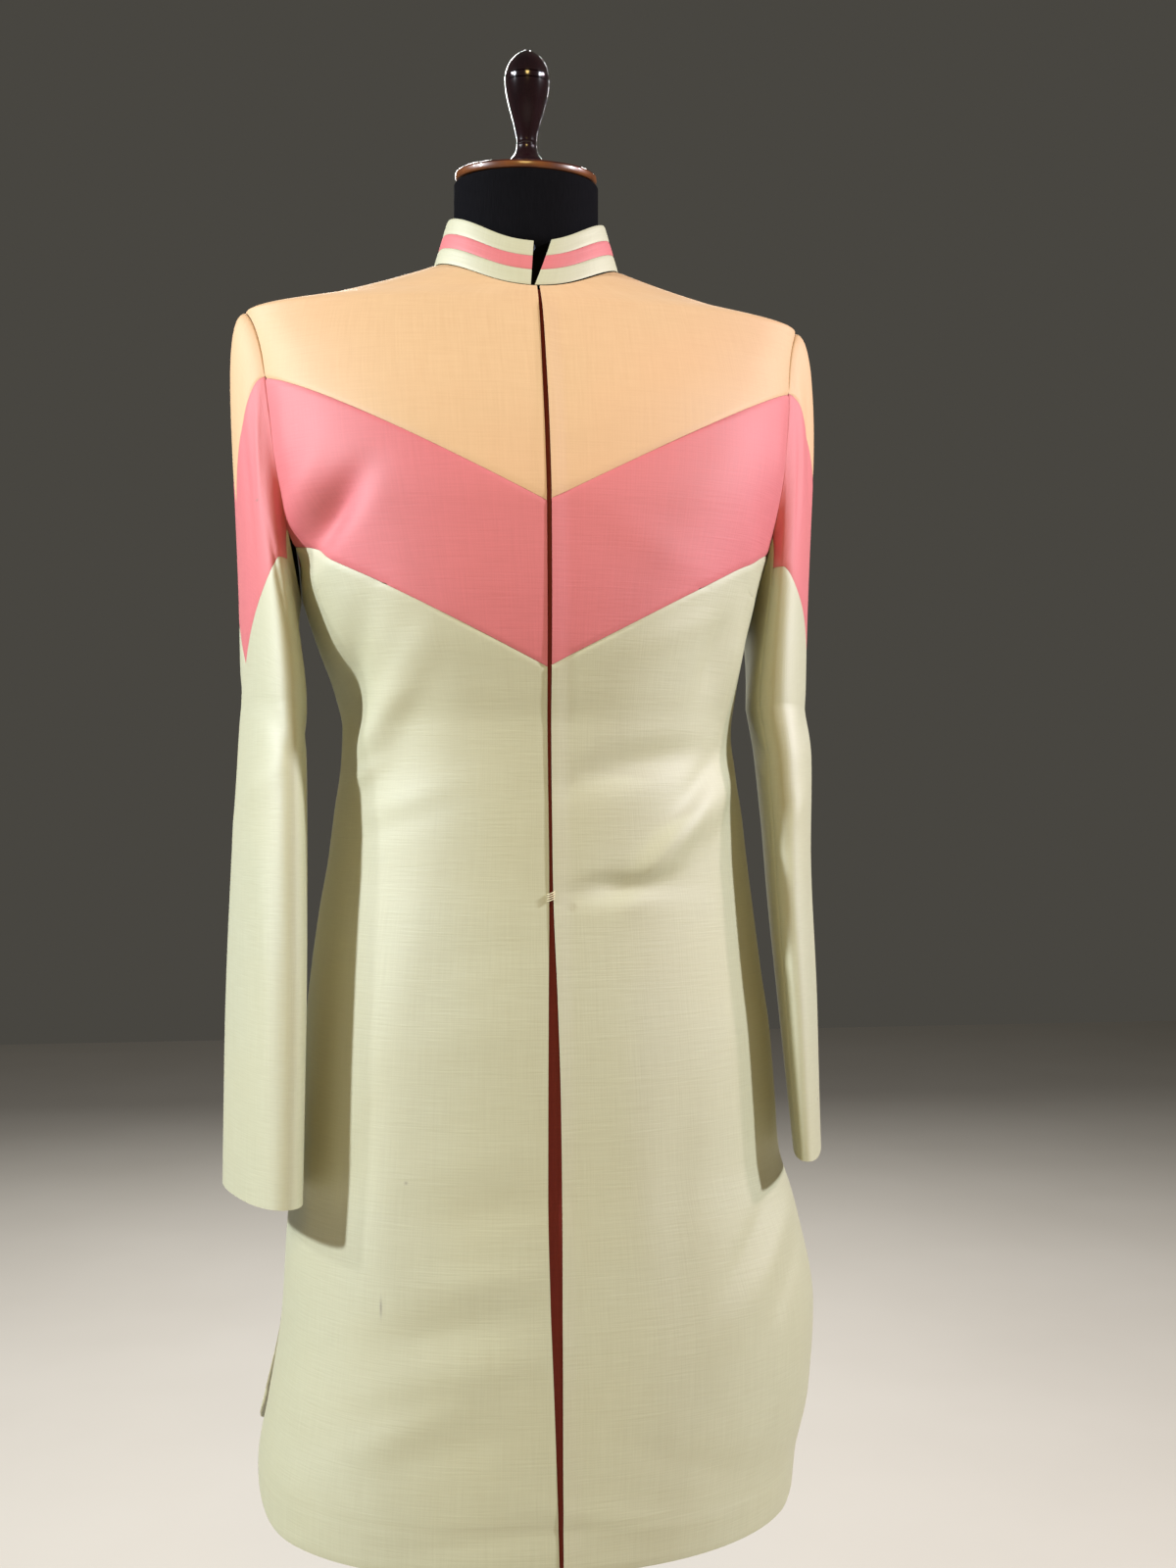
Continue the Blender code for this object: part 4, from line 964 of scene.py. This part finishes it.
# Dress form: torso and neck of fine rings inside the coat
formNames = ("height", "side", "front", "back")
formRows = (
    (0.715, 0.030, 0.045, 0.035),
    (0.760, 0.020, 0.036, 0.026),
    (0.900, 0.012, 0.024, 0.014),
    (1.020, 0.012, 0.020, 0.012),
    (1.120, 0.012, 0.024, 0.014),
    (1.222, 0.014, 0.016, 0.012),
    (1.290, 0.022, 0.013, 0.010),
    (1.357, 0.026, 0.011, 0.009),
    (1.410, 0.019, 0.009, 0.007),
    (1.436, 0.020, 0.0080, 0.0050),
    (1.448, 0.0095, 0.0075, 0.0042),
    (1.458, 0.0070, 0.0075, 0.0040),
    (1.4846, 0.0070, 0.0060, 0.0060),
)
form = {
    "bottom": 0.715, "shoulderEnd": 1.478, "neckLow": 1.497, "neckTop": 1.550, "neckHalf": 0.0570,
    "neckDepth": 0.0480, "bottomRound": 0.012, "around": 144, "rows": 170,
    "capHalf": 0.0558, "capDepth": 0.0470, "capThick": 0.0070, "capTilt": 5.0, "capEdge": 0.0024, "capSteps": 160,
    "capEdgeSteps": 5, "rimTop": 0.0050, "gap": 0.0003, "roundShare": 0.03, "finialSteps": 96,
}
formLines = linesOf(formNames, formRows)


def makeTorso():
    bm = bmesh.new()
    around, rows, share = form["around"], form["rows"], form["roundShare"]
    bmesh.ops.create_grid(bm, x_segments=around, y_segments=rows, size=1.0)
    grid = np.array([vert.co[:2] for vert in bm.verts])
    swing = (grid[:, 0] + 1.0) * math.pi
    up = (grid[:, 1] + 1.0) / 2
    rounding = np.clip(up / share, 0.0, 1.0)
    height = np.where(up < share, form["bottom"] + form["bottomRound"] * (1.0 - np.cos(rounding * math.pi / 2)),
                      mix(form["bottom"] + form["bottomRound"], form["neckTop"], (up - share) / (1.0 - share)))
    shrink = form["bottomRound"] * (1.0 - np.sin(rounding * math.pi / 2))
    side = np.where(swing < math.pi, 1.0, -1.0)
    turn = np.where(side > 0, swing, 2 * math.pi - swing)
    back = turn > math.pi / 2
    wide = bodyLines["rightHalf"].at(height) - formLines["side"].at(height)
    depth = np.where(back, bodyLines["backDepth"].at(height) - formLines["back"].at(height),
                     bodyLines["frontDepth"].at(height) - formLines["front"].at(height))
    rise = smooth((height - form["shoulderEnd"]) / (form["neckLow"] - form["shoulderEnd"]))
    wide, depth = mix(wide, form["neckHalf"], rise), mix(depth, form["neckDepth"], rise)
    across, along = ringPlace(turn, wide - shrink, depth - shrink, bodyLines["square"].at(height))
    for vert, place in zip(bm.verts, np.stack([side * across, along, height], -1)):
        vert.co = place
    bmesh.ops.remove_doubles(bm, verts=bm.verts[:], dist=1e-6)
    bmesh.ops.holes_fill(bm, edges=[edge for edge in bm.edges if edge.is_boundary], sides=0)
    bmesh.ops.recalc_face_normals(bm, faces=bm.faces[:])
    return toMesh(bm, "form_torso_cover", "jersey")


# Cap of the neck: an oval board with a rounded edge, its rim paler than its top
def makeCap():
    bm = bmesh.new()
    bmesh.ops.create_circle(bm, cap_ends=True, segments=form["capSteps"], radius=1.0)
    for vert in bm.verts:
        vert.co = (vert.co.x * form["capHalf"], vert.co.y * form["capDepth"], 0.0)
    pulled = bmesh.ops.extrude_face_region(bm, geom=bm.faces[:])
    for item in pulled["geom"]:
        if isinstance(item, bmesh.types.BMVert):
            item.co.z += form["capThick"]
    bmesh.ops.recalc_face_normals(bm, faces=bm.faces[:])
    rims = [edge for edge in bm.edges if abs(edge.verts[0].co.z - edge.verts[1].co.z) < 1e-6]
    bmesh.ops.bevel(bm, geom=rims, offset=form["capEdge"], offset_type="OFFSET", segments=form["capEdgeSteps"],
                    profile=0.5, affect="EDGES", material=-1)
    for face in bm.faces:
        face.material_index = 1 if face.calc_center_median().z < form["rimTop"] else 0
    tilt = math.radians(form["capTilt"])
    seat = form["neckTop"] + form["gap"] + form["capDepth"] * math.sin(tilt)
    placing = Matrix.Translation((0.0, 0.0, seat)) @ Matrix.Rotation(tilt, 4, "X")
    bmesh.ops.transform(bm, matrix=placing, verts=bm.verts[:])
    cap = toMesh(bm, "form_neck_cap_board", "capWood")
    cap.data.materials.append(materials["rimWood"])
    return cap, placing @ Matrix.Translation((0.0, 0.0, form["capThick"] + form["gap"]))


# Turned finial: radius and height of its profile
finialRows = (
    (0.0001, 0.0000), (0.0128, 0.0000), (0.0136, 0.0040), (0.0139, 0.0060), (0.01395, 0.0078),
    (0.0134, 0.0098), (0.0118, 0.0118), (0.0106, 0.0130), (0.0096, 0.0145), (0.0088, 0.0162), (0.0082, 0.0184),
    (0.0078, 0.0208), (0.0078, 0.0222), (0.0074, 0.0226), (0.0078, 0.0230), (0.0077, 0.0255), (0.0080, 0.0285),
    (0.0092, 0.0340), (0.0105, 0.0390), (0.0118, 0.0436), (0.0132, 0.0484), (0.0145, 0.0532), (0.0157, 0.0582),
    (0.0166, 0.0630), (0.0172, 0.0672), (0.0173, 0.0690), (0.01735, 0.0696), (0.0165, 0.0701), (0.01738, 0.0706),
    (0.0175, 0.0722), (0.0174, 0.0742), (0.0165, 0.0748), (0.0172, 0.0754), (0.0169, 0.0772), (0.0163, 0.0790),
    (0.0157, 0.0811), (0.0148, 0.0830), (0.0136, 0.0853), (0.0121, 0.0873), (0.0102, 0.0894), (0.0078, 0.0914),
    (0.0052, 0.0931), (0.0028, 0.0942), (0.0001, 0.0947),
)


def turned(name, rows, finish, steps, placing):
    bm = bmesh.new()
    made = [bm.verts.new((radius, 0.0, height)) for radius, height in rows]
    edges = [bm.edges.new(pair) for pair in zip(made, made[1:])]
    bmesh.ops.spin(bm, geom=made + edges, cent=(0, 0, 0), axis=(0, 0, 1), angle=2 * math.pi, steps=steps,
                   use_merge=True)
    bmesh.ops.remove_doubles(bm, verts=bm.verts[:], dist=1e-6)
    bmesh.ops.holes_fill(bm, edges=[edge for edge in bm.edges if edge.is_boundary], sides=0)
    bmesh.ops.recalc_face_normals(bm, faces=bm.faces[:])
    bmesh.ops.transform(bm, matrix=placing, verts=bm.verts[:])
    return toMesh(bm, name, finish)


# Pole and weighted base of the stand
stand = {"pole": 0.0175, "base": 0.180, "thick": 0.028, "edge": 0.006, "foot": 0.001, "axis": 0.0001,
         "baseSteps": 128, "poleSteps": 64, "roundSteps": 7}


def makeStand():
    base, thick, edge, pole = stand["base"], stand["thick"], stand["edge"], stand["pole"]
    axis, foot = stand["axis"], stand["foot"]
    rounding = [(base - edge * (1 - math.sin(swing)), thick - edge * (1 - math.cos(swing)))
                for swing in np.radians(np.linspace(90.0, 0.0, stand["roundSteps"]))]
    baseRows = [(axis, 0.0), (base - foot, 0.0), (base, foot)] + rounding
    baseRows += [(base * 0.5, thick), (axis, thick)]
    low, high = thick + form["gap"], form["bottom"] - form["gap"]
    poleRows = [(axis, low), (pole, low), (pole, mix(low, high, 0.5)), (pole, high), (axis, high)]
    return (turned("stand_base_disc", baseRows, "standMetal", stand["baseSteps"], Matrix.Identity(4)),
            turned("stand_pole_tube", poleRows, "standMetal", stand["poleSteps"], Matrix.Identity(4)))


# Collar hook, and the stitches at the front opening
hook = {"wire": 0.00045, "size": 0.0032, "part": 0.002, "up": 0.86, "lift": 0.0008, "squash": 0.9, "steps": 14}
threadTack = {"height": 1.0005, "wire": 0.00038, "reach": 0.0028, "count": 4, "apart": 0.0016, "steps": 8,
              "bulge": 0.0034, "lift": 0.0006, "slant": 0.0012, "part": 0.02}


def wireTube(name, points, radius, finish):
    line = bpy.data.curves.new(name, "CURVE")
    line.dimensions = "3D"
    line.bevel_depth = radius
    line.bevel_resolution = 3
    line.use_fill_caps = True
    spline = line.splines.new("POLY")
    spline.points.add(len(points) - 1)
    for knot, place in zip(spline.points, points):
        knot.co = (*place, 1.0)
    holder = bpy.data.objects.new(name + "_line", line)
    bpy.context.scene.collection.objects.link(holder)
    mesh = bpy.data.meshes.new_from_object(holder.evaluated_get(bpy.context.evaluated_depsgraph_get()))
    bpy.data.objects.remove(holder, do_unlink=True)
    mesh.name = name
    mesh.materials.clear()
    mesh.materials.append(materials[finish])
    mesh.shade_smooth()
    piece = bpy.data.objects.new(name, mesh)
    bpy.context.scene.collection.objects.link(piece)
    return piece


def makeHook():
    part, up = np.array([hook["part"]]), np.array([hook["up"]])
    top = Vector(collarPoint(part, up, coat["wall"] + hook["wire"] + hook["lift"], 0.0)[0])
    lean = (coat["neckDepth"] - collar["topDepth"]) / collar["rise"]
    points = []
    for step in range(hook["steps"] + 1):
        angle = math.pi * (step / hook["steps"] - 0.5)
        above = hook["size"] * math.sin(angle)
        points.append(top + Vector((hook["size"] * hook["squash"] * math.cos(angle), above * lean, above)))
    tail = Vector((-hook["size"] / 2, hook["wire"], 0.0))
    points = [points[0] + tail] + points + [points[-1] + tail]
    piece = wireTube("collar_hook_wire", points, hook["wire"], "navyWire")
    setPiece(piece, "collar_hook")


# A few stitches close the front opening at hip level
def makeTack():
    height = threadTack["height"]
    middle = float(openingLines["middle"].at(height))
    depth = float(plainPoint(1, np.array([threadTack["part"]]), np.array([height]), False)[0][1])
    for step in range(threadTack["count"]):
        up = height + (step - (threadTack["count"] - 1) / 2) * threadTack["apart"]
        points = []
        for at in range(threadTack["steps"] + 1):
            part = at / threadTack["steps"] * 2 - 1
            bulge = threadTack["bulge"] * (1 - part * part) + threadTack["lift"]
            across = middle + part * threadTack["reach"]
            points.append(Vector((across, depth - bulge, up + threadTack["slant"] * part)))
        piece = wireTube(f"opening_stitch_{step + 1}", points, threadTack["wire"], "tackThread")
        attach(piece, "root")


def makeThread():
    thread = Finish("tackThread")
    twist = thread.noise(thread.stretch(thread.spot(), (2500.0, 600.0, 2500.0)), 1.0, 1.0)
    thread.paint(thread.blend(twist, (0.55, 0.46, 0.28, 1), (0.80, 0.72, 0.50, 1)), twist * 0.2 + 0.6)


makeThread()
setPiece(makeTorso(), "form_torso")
cap, finialPlace = makeCap()
setPiece(cap, "form_neck_cap")
finial = turned("form_finial_knob", finialRows, "finialWood", form["finialSteps"], finialPlace)
setPiece(finial, "form_finial")
standBase, standPole = makeStand()
setPiece(standBase, "stand_base")
setPiece(standPole, "stand_pole")
makeHook()
makeTack()
print("form, stand, hook and stitches made")

# Floor and light: a pale floor, two lamps on each side, a warm broad one in front and one behind
room = {"floor": (0.50, 0.465, 0.40, 1), "floorPale": (0.56, 0.525, 0.46, 1), "floorHalf": 6.0,
        "floorDrop": 0.0005,
        "world": (1.0, 0.94, 0.80, 1), "worldPower": 0.065, "aim": (0.0, 0.0, 1.05)}
# Lamps: turn from the front towards the wearer's left, height angle, distance, size, power, colour
lampRows = (
    ("lampFront", -4.0, 26.0, 3.4, 0.90, 32.0, (1.0, 0.70, 0.24)),
    ("lampRightNear", -72.0, 27.0, 3.0, 0.18, 106.0, (0.87, 0.93, 1.0)),
    ("lampRightFar", -88.0, 30.0, 3.0, 0.18, 20.0, (0.92, 0.95, 1.0)),
    ("lampLeftNear", 65.0, 27.0, 3.0, 0.18, 84.0, (0.90, 0.93, 1.0)),
    ("lampLeftFar", 84.0, 30.0, 3.0, 0.18, 24.0, (1.0, 0.78, 0.88)),
    ("lampBack", 178.0, 30.0, 3.4, 0.90, 90.0, (1.0, 1.0, 1.0)),
)


def makeRoom():
    bm = bmesh.new()
    bmesh.ops.create_grid(bm, x_segments=2, y_segments=2, size=room["floorHalf"])
    data = bpy.data.meshes.new("floor")
    bm.to_mesh(data)
    bm.free()
    paint = Finish("floorPaint")
    mottle = paint.noise(paint.spot(), 2.0, 4.0)
    paint.paint(paint.blend(mottle, room["floor"], room["floorPale"]), mottle * 0.1 + 0.7)
    data.materials.append(materials["floorPaint"])
    floor = bpy.data.objects.new("floor", data)
    floor.location = (0.0, 0.0, -room["floorDrop"])
    bpy.context.scene.collection.objects.link(floor)
    world = bpy.data.worlds.new("studio")
    world.use_nodes = True
    world.node_tree.nodes["Background"].inputs[0].default_value = room["world"]
    world.node_tree.nodes["Background"].inputs[1].default_value = room["worldPower"]
    bpy.context.scene.world = world
    for name, turn, climb, distance, size, power, colour in lampRows:
        lamp = bpy.data.lights.new(name, "AREA")
        lamp.shape = "DISK"
        lamp.size = size
        lamp.energy = power
        lamp.color = colour
        holder = bpy.data.objects.new(name, lamp)
        turn, climb = math.radians(turn), math.radians(climb)
        out = Vector((math.sin(turn) * math.cos(climb), -math.cos(turn) * math.cos(climb), math.sin(climb)))
        holder.location = Vector(room["aim"]) + out * distance
        holder.rotation_euler = out.to_track_quat("Z", "Y").to_euler()
        bpy.context.scene.collection.objects.link(holder)


makeRoom()
bpy.context.scene.view_settings.view_transform = "Standard"
print("room lit")
